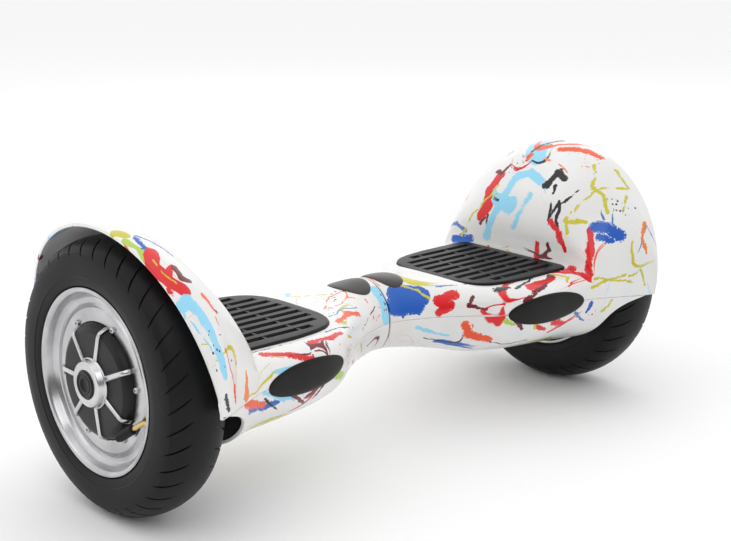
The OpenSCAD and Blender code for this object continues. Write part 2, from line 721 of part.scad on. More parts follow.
bay_x0 = pad_x0 + 32;
bay_half = 36;
module battery_pack() {
    color("royalblue") on_side(false) at_axle() union() {
        box([bay_x0, -bay_half, plate_low - battery_h], [bay_x0 + battery_len, bay_half, plate_low - touch]);
        box([bay_x0 - 8, -12, plate_low - 16], [bay_x0 + 1, 12, plate_low - 4]);
    }
}

module control_board() {
    color("darkgreen") on_side(true) at_axle() union() {
        box([bay_x0, -bay_half, plate_low - 12], [bay_x0 + battery_len, bay_half, plate_low - touch]);
        for (x = [bay_x0 + 6, bay_x0 + battery_len - 10], y = [-bay_half + 3, bay_half - 7])
            box([x, y, plate_low - 18], [x + 4, y + 4, plate_low - 11]);
        box([bay_x0, -bay_half, plate_low - 19.6], [bay_x0 + battery_len, bay_half, plate_low - 18]);
        for (i = [0:2]) translate([bay_x0 + 26 + i * 22, -14, plate_low - 19])
            mirror([0, 0, 1]) cylinder(r = 8, h = 22);
        box([bay_x0 + 20, 8, plate_low - 28], [bay_x0 + battery_len - 20, 24, plate_low - 19]);
    }
}

module power_button() {
    color("crimson") on_belly(button_at[0], button_at[1]) translate([0, 0, -7])
        cylinder(r = button_d / 2, h = 9);
}

module charge_socket() {
    color("dimgray") on_belly(socket_at[0], socket_at[1]) difference() {
        union() {
            translate([0, 0, -12]) cylinder(r = socket_d / 2, h = 13);
            translate([0, 0, 0.6]) cylinder(r = socket_d / 2 + 2.5, h = 1.8);
        }
        translate([0, 0, -7]) cylinder(r = socket_d / 2 - 2, h = 12);
    }
}

// ---- assembly ------------------------------------------------------------

pivot_tube();
pivot_bushes();
pivot_clip();
pivot_cable();
battery_pack();
control_board();
power_button();
charge_socket();
frame(false);  // left_frame
top_shell(false);  // left_top_shell
bottom_shell(false);  // left_bottom_shell
arch_liner(false);  // left_arch_liner
foot_pad(false);  // left_foot_pad
sensor_board(false);  // left_sensor_board
headlight_lens(false);  // left_headlight_lens
indicator_lens(false);  // left_indicator_lens
light_boards(false);  // left_light_boards
axle(false);  // left_axle
axle_clamp(false);  // left_axle_clamp
fasteners(false);  // left_fasteners
stator(false);  // left_stator
windings(false);  // left_windings
bearings(false);  // left_bearings
magnet_ring(false);  // left_magnet_ring
inner_cover(false);  // left_inner_cover
outer_cover(false);  // left_outer_cover
spider(false);  // left_spider
hub_plug(false);  // left_hub_plug
cover_screws(false);  // left_cover_screws
rim(false);  // left_rim
inner_tube(false);  // left_inner_tube
tyre(false);  // left_tyre
valve_stem(false);  // left_valve_stem
valve_cap(false);  // left_valve_cap
frame(true);  // right_frame
top_shell(true);  // right_top_shell
bottom_shell(true);  // right_bottom_shell
arch_liner(true);  // right_arch_liner
foot_pad(true);  // right_foot_pad
sensor_board(true);  // right_sensor_board
headlight_lens(true);  // right_headlight_lens
indicator_lens(true);  // right_indicator_lens
light_boards(true);  // right_light_boards
axle(true);  // right_axle
axle_clamp(true);  // right_axle_clamp
fasteners(true);  // right_fasteners
stator(true);  // right_stator
windings(true);  // right_windings
bearings(true);  // right_bearings
magnet_ring(true);  // right_magnet_ring
inner_cover(true);  // right_inner_cover
outer_cover(true);  // right_outer_cover
spider(true);  // right_spider
hub_plug(true);  // right_hub_plug
cover_screws(true);  // right_cover_screws
rim(true);  // right_rim
inner_tube(true);  // right_inner_tube
tyre(true);  // right_tyre
valve_stem(true);  // right_valve_stem
valve_cap(true);  // right_valve_cap
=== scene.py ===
import json
import math

import bmesh
import bpy
import numpy as np
from mathutils import Matrix, Vector


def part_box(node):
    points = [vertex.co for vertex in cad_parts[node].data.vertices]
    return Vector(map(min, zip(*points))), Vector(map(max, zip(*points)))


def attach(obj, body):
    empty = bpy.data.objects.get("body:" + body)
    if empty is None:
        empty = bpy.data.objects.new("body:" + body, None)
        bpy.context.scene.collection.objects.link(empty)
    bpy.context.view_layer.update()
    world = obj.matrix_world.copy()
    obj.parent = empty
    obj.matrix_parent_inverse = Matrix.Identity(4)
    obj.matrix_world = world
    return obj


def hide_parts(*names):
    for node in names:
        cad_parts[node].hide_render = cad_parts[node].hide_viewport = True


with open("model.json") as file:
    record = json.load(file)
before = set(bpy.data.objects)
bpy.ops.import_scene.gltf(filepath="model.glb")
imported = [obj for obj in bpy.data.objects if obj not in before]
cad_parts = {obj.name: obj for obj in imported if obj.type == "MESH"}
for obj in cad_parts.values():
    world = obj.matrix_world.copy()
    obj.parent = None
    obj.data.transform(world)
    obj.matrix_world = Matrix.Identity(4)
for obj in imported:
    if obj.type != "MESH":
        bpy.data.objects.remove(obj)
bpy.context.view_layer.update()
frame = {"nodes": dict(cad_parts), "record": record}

# Shapes are worked out in millimetres and made in metres.
MM = 0.001
SIDES = (("left", -1), ("right", 1))


def node_box(node):
    """Lowest and highest corner of a CAD node, in millimetres."""
    low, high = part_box(node)
    return np.array(low) / MM, np.array(high) / MM


# ---- sizes taken from the frame ------------------------------------------

tyre_low, tyre_high = node_box("right_tyre")
WHEEL_R = (tyre_high[2] - tyre_low[2]) / 2
AXLE_Z = (tyre_high[2] + tyre_low[2]) / 2
WHEEL_X = (tyre_high[0] + tyre_low[0]) / 2
TYRE_HALF = (tyre_high[0] - tyre_low[0]) / 2
rim_low, rim_high = node_box("right_rim")
RIM_R = (rim_high[2] - rim_low[2]) / 2
pad_low, pad_high = node_box("right_foot_pad")
lens_low, lens_high = node_box("right_headlight_lens")
marker_low, marker_high = node_box("right_indicator_lens")
shell_low, shell_high = node_box("right_top_shell")
GAP = shell_low[0]
HOOD_R = shell_high[2] - AXLE_Z - 1

# ---- form of the body ----------------------------------------------------

# Radius of the neck at the pivot.
NECK_R = 37.0
# Half width of the deck from front to rear.
DECK_HALF = 107.0
# Height of the deck above the axle, and depth of the belly below it.
DECK_H = 25.0
BELLY = 62.5
# The shells meet this far below the axle.
SEAM_DROP = 3.5
WALL = 3.0
# The hood rises at HOOD_X and ends at LIP_X beside the wheel and at HOOD_END above it.
HOOD_X = WHEEL_X - 67
HOOD_END = WHEEL_X + 23
LIP_X = WHEEL_X - 4.5
# Outer end of the bottom shell's floor, and the squareness of the belly's cross section.
TUB_END = HOOD_X + 17
BELLY_ROUND = 2.3
WAIST = DECK_HALF - 7


def mix(a, b, t):
    return a + (b - a) * t


# Distance from the pivot, half width and belly depth.
BODY_PLAN = np.array([
    [GAP, NECK_R, NECK_R],
    [13, NECK_R + 1.3, NECK_R + 0.6],
    [33, mix(NECK_R, WAIST, 0.14), mix(NECK_R, BELLY, 0.13)],
    [54, mix(NECK_R, WAIST, 0.29), mix(NECK_R, BELLY, 0.28)],
    [79, mix(NECK_R, WAIST, 0.55), mix(NECK_R, BELLY, 0.5)],
    [104, mix(NECK_R, WAIST, 0.83), mix(NECK_R, BELLY, 0.76)],
    [131, WAIST, BELLY - 2.5],
    [161, DECK_HALF - 2, BELLY],
    [HOOD_X - 34, DECK_HALF, BELLY + 2.5],
    [HOOD_X - 8, DECK_HALF + 3, BELLY + 4],
    [HOOD_X + 11, mix(DECK_HALF, HOOD_R + 4, 0.3), BELLY + 5],
    [HOOD_X + 34, mix(DECK_HALF, HOOD_R + 4, 0.6), BELLY + 6],
    [LIP_X - 14, mix(DECK_HALF, HOOD_R + 4, 0.82), BELLY + 6],
    [LIP_X + 2, HOOD_R + 4, BELLY + 6]])

# Distance from the pivot, height above the axle and squareness of the ridge.
RIDGE = np.array([
    [GAP, NECK_R, 2],
    [18, NECK_R - 0.4, 2],
    [40, mix(NECK_R, DECK_H, 0.25), 2.1],
    [65, mix(NECK_R, DECK_H, 0.62), 2.6],
    [92, mix(NECK_R, DECK_H, 0.92), 3.4],
    [125, DECK_H, 4],
    [HOOD_X - 46, DECK_H, 4],
    [HOOD_X - 9, DECK_H + 0.3, 4],
    [HOOD_X - 3, DECK_H + 2, 3.7],
    [HOOD_X - 0.6, DECK_H + 14, 3.1],
    [HOOD_X + 1.5, mix(DECK_H, HOOD_R, 0.33), 2.6],
    [HOOD_X + 12, mix(DECK_H, HOOD_R, 0.56), 2.25],
    [HOOD_X + 28, mix(DECK_H, HOOD_R, 0.75), 2.1],
    [HOOD_X + 44, mix(DECK_H, HOOD_R, 0.89), 2],
    [HOOD_X + 60, mix(DECK_H, HOOD_R, 0.97), 2],
    [HOOD_X + 76, HOOD_R + 1, 2],
    [HOOD_END, HOOD_R, 2]])
ROWS = len(RIDGE) - 1


def hermite(a, b, ma, mb, u):
    return (a * (1 + 2 * u) * (1 - u) ** 2 + ma * u * (1 - u) ** 2
            + b * u * u * (3 - 2 * u) - mb * u * u * (1 - u))


def plan_at(x, column):
    """Half width (column 1) or belly depth (column 2) at a distance from the pivot."""
    xs, ys = BODY_PLAN[:, 0], BODY_PLAN[:, column]
    slopes = np.empty(len(xs))
    slopes[1:-1] = (ys[2:] - ys[:-2]) / (xs[2:] - xs[:-2])
    slopes[0] = (ys[1] - ys[0]) / (xs[1] - xs[0])
    slopes[-1] = (ys[-1] - ys[-2]) / (xs[-1] - xs[-2])
    i = np.clip(np.searchsorted(xs, x, side="right") - 1, 0, len(xs) - 2)
    w = xs[i + 1] - xs[i]
    return hermite(ys[i], ys[i + 1], slopes[i] * w, slopes[i + 1] * w, (x - xs[i]) / w)


def ridge_at(s, column):
    values = RIDGE[:, column]
    i = np.minimum(np.floor(s).astype(int), ROWS - 1)
    p, q = values[np.maximum(i - 1, 0)], values[i]
    r, t = values[i + 1], values[np.minimum(i + 2, ROWS)]
    return hermite(q, r, (r - p) / 2, (t - q) / 2, s - i)


def rounded(v, n):
    return np.sign(v) * np.abs(v) ** (2 / n)


def upper_form(s, a):
    """Points of the body above the seam, at ridge row s and angle a up from the front."""
    s, a = np.broadcast_arrays(np.asarray(s, float), np.asarray(a, float))
    sine, cosine = np.sin(np.radians(a)), np.cos(np.radians(a))
    x = ridge_at(s, 0)
    end = mix(LIP_X, HOOD_END, np.maximum(0, sine))
    x = np.where(x <= HOOD_X, x, HOOD_X + (x - HOOD_X) * (end - HOOD_X) / (HOOD_END - HOOD_X))
    held = np.minimum(x, LIP_X + 2)
    n = np.where(sine < 0, BELLY_ROUND, ridge_at(s, 2))
    up = np.where(sine < 0, plan_at(held, 2), ridge_at(s, 1))
    return np.stack([x, -plan_at(held, 1) * rounded(cosine, n), AXLE_Z + up * rounded(sine, n)], -1)


def lower_form(t, a):
    """Points of the body below the seam, at a share t of the way out and angle a."""
    t, a = np.broadcast_arrays(np.asarray(t, float), np.asarray(a, float))
    sine, cosine = np.sin(np.radians(a)), np.cos(np.radians(a))
    end = mix(TUB_END, LIP_X, (1 - np.abs(sine)) ** 7)
    x = mix(GAP, end, t)
    return np.stack([x, -plan_at(x, 1) * rounded(cosine, BELLY_ROUND),
                     AXLE_Z + plan_at(x, 2) * rounded(sine, BELLY_ROUND)], -1)


# Degrees to each side over which a slope is taken.
ANGLE_STEP = 0.7


def unit(v):
    return v / np.linalg.norm(v, axis=-1, keepdims=True)


def form_frame(form, s, a, span, step):
    """Points and outward normals of the surface on a grid."""
    low, high = np.maximum(s - step, 0), np.minimum(s + step, span)
    along = form(high, a) - form(low, a)
    around = form(s, a + ANGLE_STEP) - form(s, a - ANGLE_STEP)
    return form(s, a), unit(np.cross(along, around))


# ---- making meshes -------------------------------------------------------

# Edges sharper than this many degrees stay sharp.
SHARP = 35
# Points closer than this, in metres, are one point.
WELD_GAP = 1e-6


def grid_faces(rows, columns, start=0, closed_rows=False, closed_columns=False):
    faces = []
    for i in range(rows if closed_rows else rows - 1):
        for j in range(columns if closed_columns else columns - 1):
            k, m = (i + 1) % rows, (j + 1) % columns
            faces.append((start + i * columns + j, start + k * columns + j,
                          start + k * columns + m, start + i * columns + m))
    return faces


def make_piece(name, points, faces, body, material, mirror=1, sharp=SHARP):
    """A mesh piece in millimetres, mirrored to the left half when mirror is -1."""
    points = np.asarray(points, float) * MM
    if mirror < 0:
        points = points * [-1, 1, 1]
        faces = [tuple(reversed(f)) for f in faces]
    mesh = bpy.data.meshes.new(name)
    mesh.from_pydata(points.tolist(), [], [tuple(int(i) for i in f) for f in faces])
    mesh.validate()
    mesh.materials.append(material)
    piece = bpy.data.objects.new(name, mesh)
    bpy.context.scene.collection.objects.link(piece)
    smooth(piece, sharp)
    if body:
        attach(piece, body)
    return piece


def smooth(piece, sharp):
    mesh = piece.data
    mesh.polygons.foreach_set("use_smooth", [True] * len(mesh.polygons))
    mesh.set_sharp_from_angle(angle=math.radians(sharp))
    mesh.update()


def outward(piece):
    bm = bmesh.new()
    bm.from_mesh(piece.data)
    bmesh.ops.recalc_face_normals(bm, faces=bm.faces)
    bm.to_mesh(piece.data)
    bm.free()


def weld(piece, sharp):
    """Joins points that lie on one spot, turns the faces outward and smooths the piece."""
    bm = bmesh.new()
    bm.from_mesh(piece.data)
    bmesh.ops.remove_doubles(bm, verts=bm.verts, dist=WELD_GAP)
    bmesh.ops.recalc_face_normals(bm, faces=bm.faces)
    bm.to_mesh(piece.data)
    bm.free()
    smooth(piece, sharp)


def combine(piece, others, operation):
    """Runs one boolean step for each of the other solids, then throws them away."""
    for other in others:
        outward(other)
        step = piece.modifiers.new("combine", "BOOLEAN")
        step.operation = operation
        step.solver = "EXACT"
        step.object = other
    done = bpy.data.meshes.new_from_object(
        piece.evaluated_get(bpy.context.evaluated_depsgraph_get()))
    piece.modifiers.clear()
    piece.data = done
    for other in others:
        bpy.data.objects.remove(other)


def cut(piece, cutters, sharp=SHARP):
    """Takes each cutter's shape out of the piece."""
    combine(piece, cutters, "DIFFERENCE")
    smooth(piece, sharp)


def join(piece, others):
    """Adds the others' shapes to the piece as one closed solid."""
    combine(piece, others, "UNION")


def prism(name, outline, low, high, mirror=1):
    """An upright block on an outline, used as a cutter."""
    n = len(outline)
    points = [(x, y, z) for z in (low, high) for x, y in outline]
    faces = [tuple(reversed(range(n))), tuple(range(n, 2 * n))]
    faces += [(i, (i + 1) % n, n + (i + 1) % n, n + i) for i in range(n)]
    return make_piece(name, points, faces, None, cutter_paint, mirror)


def turned(name, profile, centre_x, body, material, mirror=1, steps=192, sharp=SHARP):
    """A solid turned about the axle line from a closed profile of (radius, distance out)."""
    profile = np.array(profile, float)
    angle = np.linspace(0, 2 * np.pi, steps, endpoint=False)
    points = []
    for a in angle:
        points += [(centre_x + u, -r * math.cos(a), AXLE_Z + r * math.sin(a)) for r, u in profile]
    faces = grid_faces(steps, len(profile), closed_rows=True, closed_columns=True)
    piece = make_piece(name, points, faces, body, material, mirror, sharp)
    weld(piece, sharp)
    return piece


def soft_corners(profile, radius, cuts=3):
    """The profile with each corner rounded off."""
    out = []
    n = len(profile)
    for i in range(n):
        p, q, r = (np.array(profile[(i + k) % n], float) for k in (-1, 0, 1))
        a, b = p - q, r - q
        la, lb = np.linalg.norm(a), np.linalg.norm(b)
        straight = abs(a[0] * b[1] - a[1] * b[0]) / (la * lb) < 0.08
        reach = min(radius, la * 0.45, lb * 0.45)
        if straight or reach < 0.05:
            out.append(tuple(q))
            continue
        start, end = q + a / la * reach, q + b / lb * reach
        for k in range(cuts + 1):
            t = k / cuts
            out.append(tuple(start * (1 - t) ** 2 + 2 * q * t * (1 - t) + end * t * t))
    return out


# ---- shader trees --------------------------------------------------------

class Tree:
    """Short hand for adding nodes to one shader tree."""

    def __init__(self, tree):
        self.tree = tree

    def add(self, kind, inputs=(), **settings):
        node = self.tree.nodes.new(kind)
        for key, value in settings.items():
            setattr(node, key, value)
        for key, value in dict(inputs).items():
            self.put(node.inputs[key], value)
        return node

    def put(self, socket, value):
        if isinstance(value, bpy.types.NodeSocket):
            self.tree.links.new(value, socket)
        else:
            socket.default_value = value

    def math(self, operation, *values, clamp=False):
        return self.add("ShaderNodeMath", dict(enumerate(values)), operation=operation,
                        use_clamp=clamp).outputs[0]

    def vector(self, operation, *values):
        node = self.add("ShaderNodeVectorMath", dict(enumerate(values)), operation=operation)
        return node.outputs["Value" if operation in ("DOT_PRODUCT", "LENGTH", "DISTANCE") else "Vector"]

    def scaled(self, vector, factor):
        return self.add("ShaderNodeVectorMath", {0: vector, "Scale": factor}, operation="SCALE").outputs[0]

    def blend(self, factor, first, second):
        node = self.add("ShaderNodeMix", {"Factor": factor}, data_type="RGBA", clamp_factor=True)
        self.put(node.inputs[6], first)
        self.put(node.inputs[7], second)
        return node.outputs[2]

    def noise(self, place, scale, detail=2.0, roughness=0.5):
        return self.add("ShaderNodeTexNoise", {"Vector": place, "Scale": scale, "Detail": detail,
                                               "Roughness": roughness})

    def ramp(self, factor, stops, interpolation="LINEAR"):
        node = self.add("ShaderNodeValToRGB", {"Fac": factor})
        node.color_ramp.interpolation = interpolation
        while len(node.color_ramp.elements) < len(stops):
            node.color_ramp.elements.new(0.5)
        for element, (position, colour) in zip(node.color_ramp.elements, stops):
            element.position = position
            element.color = (*colour, 1) if len(colour) == 3 else colour
        return node.outputs[0]

    def effect(self, group, **inputs):
        node = self.add("ShaderNodeGroup")
        node.node_tree = group
        for key, value in inputs.items():
            self.put(node.inputs[key.replace("_", " ")], value)
        return node

    def place(self):
        return self.add("ShaderNodeTexCoord").outputs["Object"]

    def facing(self):
        return self.add("ShaderNodeTexCoord").outputs["Normal"]


def new_effect(name, inputs, outputs):
    """An empty shader node group with named sockets, and its input and output nodes."""
    group = bpy.data.node_groups.new(name, "ShaderNodeTree")
    for label, kind, value in inputs:
        socket = group.interface.new_socket(label, in_out="INPUT", socket_type="NodeSocket" + kind)
        if value is not None:
            socket.default_value = value
    for label, kind in outputs:
        group.interface.new_socket(label, in_out="OUTPUT", socket_type="NodeSocket" + kind)
    tree = Tree(group)
    return group, tree, tree.add("NodeGroupInput").outputs, tree.add("NodeGroupOutput").inputs


def new_paint(name, **values):
    """A material with its Principled shader's plain numbers set."""
    material = bpy.data.materials.new(name)
    material.use_nodes = True
    tree = Tree(material.node_tree)
    shader = material.node_tree.nodes["Principled BSDF"]
    for key, value in values.items():
        key = key.replace("_", " ")
        shader.inputs[key].default_value = (*value, 1) if isinstance(value, tuple) else value
    return material, tree, shader


cutter_paint = bpy.data.materials.new("cutter")


def grain_effect():
    """Fine moulded grain: a height and a faint roughness change."""
    group, t, given, result = new_effect("moulded_grain", [
        ("Place", "Vector", None), ("Size", "Float", 900.0), ("Depth", "Float", 0.5)],
        [("Height", "Float"), ("Shade", "Float")])
    fine = t.noise(given["Place"], given["Size"], 3, 0.6).outputs["Fac"]
    broad = t.noise(given["Place"], 23, 3).outputs["Fac"]
    t.put(result["Height"], t.math("MULTIPLY", fine, given["Depth"]))
    t.put(result["Shade"], broad)
    return group


def dust_effect():
    """A mask of faint dust and wear that gathers in patches."""
    group, t, given, result = new_effect("light_dust", [
        ("Place", "Vector", None), ("Size", "Float", 30.0), ("Cover", "Float", 0.5)],
        [("Mask", "Float")])
    patches = t.noise(given["Place"], given["Size"], 6, 0.65).outputs["Fac"]
    low = t.math("SUBTRACT", 1.0, given["Cover"])
    t.put(result["Mask"], t.math("MULTIPLY", t.math("SUBTRACT", patches, low), 2.2, clamp=True))
    return group


def brush_effect():
    """One bent, ragged brush stroke in some cells of a random pattern."""
    group, t, given, result = new_effect("brush_strokes", [
        ("Place", "Vector", None), ("Facing", "Vector", None), ("Cells", "Float", 14.0),
        ("Share", "Float", 0.5), ("Length", "Float", 0.32), ("Width", "Float", 0.09),
        ("Bend", "Float", 0.5), ("Ragged", "Float", 0.1), ("Dry", "Float", 0.5),
        ("Shift", "Vector", None)],
        [("Mask", "Float"), ("Pick", "Float")])
    place = t.vector("ADD", t.scaled(given["Place"], given["Cells"]), given["Shift"])
    wander = t.noise(place, 2.6, 3, 0.6).outputs["Color"]
    wander = t.scaled(t.vector("SUBTRACT", wander, (0.5, 0.5, 0.5)), given["Ragged"])
    moved = t.vector("ADD", place, wander)
    cell = t.add("ShaderNodeTexVoronoi", {"Vector": moved, "Scale": 1.0, "Randomness": 0.85})
    chance = t.add("ShaderNodeSeparateXYZ", {0: cell.outputs["Color"]}).outputs
    away = t.vector("SUBTRACT", moved, cell.outputs["Position"])
    lean = t.vector("SUBTRACT", cell.outputs["Color"], (0.5, 0.5, 0.5))
    side = t.vector("NORMALIZE", t.vector("CROSS_PRODUCT", given["Facing"], lean))
    run = t.vector("CROSS_PRODUCT", given["Facing"], side)
    along = t.vector("DOT_PRODUCT", away, run)
    across = t.vector("DOT_PRODUCT", away, side)
    curve = t.math("MULTIPLY", given["Bend"], t.math("SUBTRACT", chance["Y"], 0.5))
    curve = t.math("MULTIPLY", curve, t.math("MULTIPLY", along, along))
    across = t.math("ADD", across, t.math("MULTIPLY", curve, 6.0))
    past = t.math("MAXIMUM", t.math("SUBTRACT", t.math("ABSOLUTE", along), given["Length"]), 0.0)
    off = t.math("SQRT", t.math("ADD", t.math("MULTIPLY", past, past),
                                t.math("MULTIPLY", across, across)))
    press = t.math("MULTIPLY_ADD", t.noise(place, 1.7, 2).outputs["Fac"], 1.1, 0.4)
    width = t.math("MULTIPLY", given["Width"], press)
    body = t.math("MULTIPLY", t.math("SUBTRACT", width, off), 60.0, clamp=True)
    strands = t.add("ShaderNodeCombineXYZ", {0: t.math("MULTIPLY", along, 1.3),
                                             1: t.math("MULTIPLY", across, 38.0), 2: chance["Z"]})
    strand = t.noise(strands.outputs[0], 1.0, 2, 0.6).outputs["Fac"]
    worn = t.math("MULTIPLY", t.math("MULTIPLY_ADD", along, 1.6, 0.35), given["Dry"])
    kept = t.math("MULTIPLY", t.math("SUBTRACT", strand, worn), 14.0, clamp=True)
    there = t.math("GREATER_THAN", given["Share"], chance["X"])
    t.put(result["Mask"], t.math("MULTIPLY", t.math("MULTIPLY", body, kept), there))
    t.put(result["Pick"], t.math("FRACT", t.math("MULTIPLY", chance["Z"], 7.3)))
    return group


def speck_effect():
    """Clusters of small flung drops."""
    group, t, given, result = new_effect("flung_drops", [
        ("Place", "Vector", None), ("Cells", "Float", 260.0), ("Share", "Float", 0.35),
        ("Shift", "Vector", None)], [("Mask", "Float")])
    place = t.vector("ADD", t.scaled(given["Place"], given["Cells"]), given["Shift"])
    cell = t.add("ShaderNodeTexVoronoi", {"Vector": place, "Scale": 1.0, "Randomness": 1.0})
    chance = t.add("ShaderNodeSeparateXYZ", {0: cell.outputs["Color"]}).outputs
    size = t.math("MULTIPLY", t.math("POWER", chance["X"], 2.0), 0.5)
    drop = t.math("MULTIPLY", t.math("SUBTRACT", size, cell.outputs["Distance"]), 9.0, clamp=True)
    cluster = t.noise(t.vector("ADD", given["Place"], t.scaled(given["Shift"], 0.1)), 17, 1).outputs["Fac"]
    here = t.math("GREATER_THAN", cluster, t.math("SUBTRACT", 1.0, given["Share"]))
    t.put(result["Mask"], t.math("MULTIPLY", drop, here))
    return group


def line_effect():
    """A ragged brush line from Start to End, in metres. Strand is the brush's streaky noise."""
    group, t, given, result = new_effect("brush_line", [
        ("Place", "Vector", None), ("Strand", "Float", 0.5), ("Start", "Vector", None),
        ("End", "Vector", None), ("Width", "Float", 0.004), ("Taper", "Float", 0.0),
        ("Dry", "Float", 0.2)], [("Mask", "Float")])
    reach = t.vector("SUBTRACT", given["End"], given["Start"])
    away = t.vector("SUBTRACT", given["Place"], given["Start"])
    share = t.math("DIVIDE", t.vector("DOT_PRODUCT", away, reach),
                   t.vector("DOT_PRODUCT", reach, reach), clamp=True)
    off = t.vector("DISTANCE", away, t.scaled(reach, share))
    width = t.math("MULTIPLY", given["Width"],
                   t.math("SUBTRACT", 1.0, t.math("MULTIPLY", share, given["Taper"])))
    body = t.math("MULTIPLY", t.math("SUBTRACT", width, off), 2200.0, clamp=True)
    worn = t.math("MULTIPLY", t.math("DIVIDE", off, width), given["Dry"])
    kept = t.math("MULTIPLY", t.math("SUBTRACT", given["Strand"], worn), 9.0, clamp=True)
    t.put(result["Mask"], t.math("MULTIPLY", body, kept))
    return group


grain = grain_effect()
dust = dust_effect()
strokes = brush_effect()
drops = speck_effect()
line = line_effect()

# ---- finishes ------------------------------------------------------------

RED = (0.72, 0.012, 0.016)
SCARLET = (0.84, 0.09, 0.02)
ORANGE = (0.86, 0.24, 0.05)
OLIVE = (0.6, 0.54, 0.03)
LIME = (0.42, 0.6, 0.08)
BLUE = (0.015, 0.11, 0.5)
STEEL_BLUE = (0.1, 0.2, 0.48)
SKY = (0.3, 0.68, 0.9)
MAROON = (0.16, 0.012, 0.018)
INK = (0.012, 0.012, 0.014)


def even_stops(colours):
    return [(i / len(colours), c) for i, c in enumerate(colours)]


# The placed marks lie on faces that look this way; the others get more of the random strokes.
PLACED_SIDE = (-0.65, -0.71, 0.26)

# Random strokes over the whole body: cells per metre, share, length, width, bend, ragged, dry, colours.
STROKE_LAYERS = [
    (8.0, 0.36, 0.2, 0.09, 0.5, 0.2, 1.0, [BLUE, LIME, OLIVE, SKY]),
    (11.0, 0.44, 0.27, 0.045, 1.6, 0.12, 0.7, [RED, SKY, OLIVE, SCARLET, RED, BLUE]),
    (15.0, 0.42, 0.3, 0.045, 2.2, 0.14, 0.8, [MAROON, INK, ORANGE, RED, OLIVE]),
    (14.0, 0.56, 0.36, 0.01, 2.6, 0.18, 0.4, [INK, ORANGE, SCARLET, SKY]),
]


def painted_shell(name, lines):
    """Glossy white plastic under sprayed and brushed colours.

    Each of the lines is a colour, its points, half width, taper and dryness.
    """
    material, t, shader = new_paint(name, Roughness=0.2, Coat_Weight=0.25, Coat_Roughness=0.05,
                                    Specular_IOR_Level=0.3)
    place, facing = t.place(), t.facing()
    clouds = t.noise(place, 11, 4).outputs["Fac"]
    colour = t.ramp(clouds, [(0.3, (0.77, 0.76, 0.745)), (0.62, (0.84, 0.84, 0.835))])
    for tint, shift in (((0.85, 0.62, 0.55), 3.1), ((0.78, 0.83, 0.5), 7.7), ((0.6, 0.74, 0.86), 12.9)):
        wash = t.noise(t.vector("ADD", place, (shift, 0, 0)), 19, 3, 0.6).outputs["Fac"]
        wash = t.math("MULTIPLY", t.math("SUBTRACT", wash, 0.6), 3.5, clamp=True)
        colour = t.blend(t.math("MULTIPLY", wash, 0.45), colour, (*tint, 1))
    toward = t.vector("DOT_PRODUCT", facing, PLACED_SIDE)
    plain = t.math("MULTIPLY", t.math("SUBTRACT", 0.2, toward), 4.0, clamp=True)
    for k, (cells, share, length, width, bend, ragged, dry, colours) in enumerate(STROKE_LAYERS):
        fuller = t.math("MULTIPLY_ADD", plain, 0.75 * share, share)
        mark = t.effect(strokes, Place=place, Facing=facing, Cells=cells, Share=fuller, Length=length,
                        Width=width, Bend=bend, Ragged=ragged, Dry=dry,
                        Shift=(5.3 * k + 1.7, 2.9 * k, 7.1 * k))
        pick = t.ramp(mark.outputs["Pick"], even_stops(colours), "CONSTANT")
        colour = t.blend(mark.outputs["Mask"], colour, pick)
    wander = t.noise(place, 55, 3, 0.6).outputs["Color"]
    wander = t.scaled(t.vector("SUBTRACT", wander, (0.5, 0.5, 0.5)), 0.009)
    hand = t.vector("ADD", place, wander)
    strand = t.noise(place, 520, 2, 0.7).outputs["Fac"]
    for paint, points, width, taper, dry in lines:
        mask = None
        for start, end in zip(points[:-1], points[1:]):
            part = t.effect(line, Place=hand, Strand=strand, Start=start, End=end, Width=width,
                            Taper=taper, Dry=dry).outputs["Mask"]
            mask = part if mask is None else t.math("MAXIMUM", mask, part)
        colour = t.blend(mask, colour, (*paint, 1))
    for paint, share, shift in ((INK, 0.34, (4, 1, 8)), (BLUE, 0.3, (23, 9, 2)), (SCARLET, 0.28, (41, 3, 5))):
        flung = t.effect(drops, Place=place, Cells=330.0, Share=share, Shift=shift)
        colour = t.blend(flung.outputs["Mask"], colour, (*paint, 1))
    film = t.effect(dust, Place=place, Size=14.0, Cover=0.45).outputs["Mask"]
    t.put(shader.inputs["Base Color"], t.blend(t.math("MULTIPLY", film, 0.06), colour, (0.5, 0.48, 0.45, 1)))
    t.put(shader.inputs["Roughness"], t.math("MULTIPLY_ADD", film, 0.1, 0.17))
    peel = t.noise(place, 240, 2).outputs["Fac"]
    bump = t.add("ShaderNodeBump", {"Height": peel, "Strength": 0.05, "Distance": 0.0004})
    t.put(shader.inputs["Normal"], bump.outputs[0])
    return material


def moulded(name, colour, roughness, size=900.0, depth=0.6, strength=0.25, worn=0.12, **more):
    """Moulded rubber or plastic with grain and a little dust."""
    material, t, shader = new_paint(name, **more)
    place = t.place()
    surface = t.effect(grain, Place=place, Size=size, Depth=depth)
    film = t.effect(dust, Place=place, Size=24.0, Cover=0.5).outputs["Mask"]
    lighter = tuple(min(1.0, c * 1.5 + 0.02) for c in colour)
    t.put(shader.inputs["Base Color"], t.blend(t.math("MULTIPLY", film, worn), (*colour, 1), (*lighter, 1)))
    t.put(shader.inputs["Roughness"], t.math("MULTIPLY_ADD", surface.outputs["Shade"], 0.2, roughness - 0.1))
    bump = t.add("ShaderNodeBump", {"Height": surface.outputs["Height"], "Strength": strength,
                                    "Distance": 0.0003})
    t.put(shader.inputs["Normal"], bump.outputs[0])
    return material


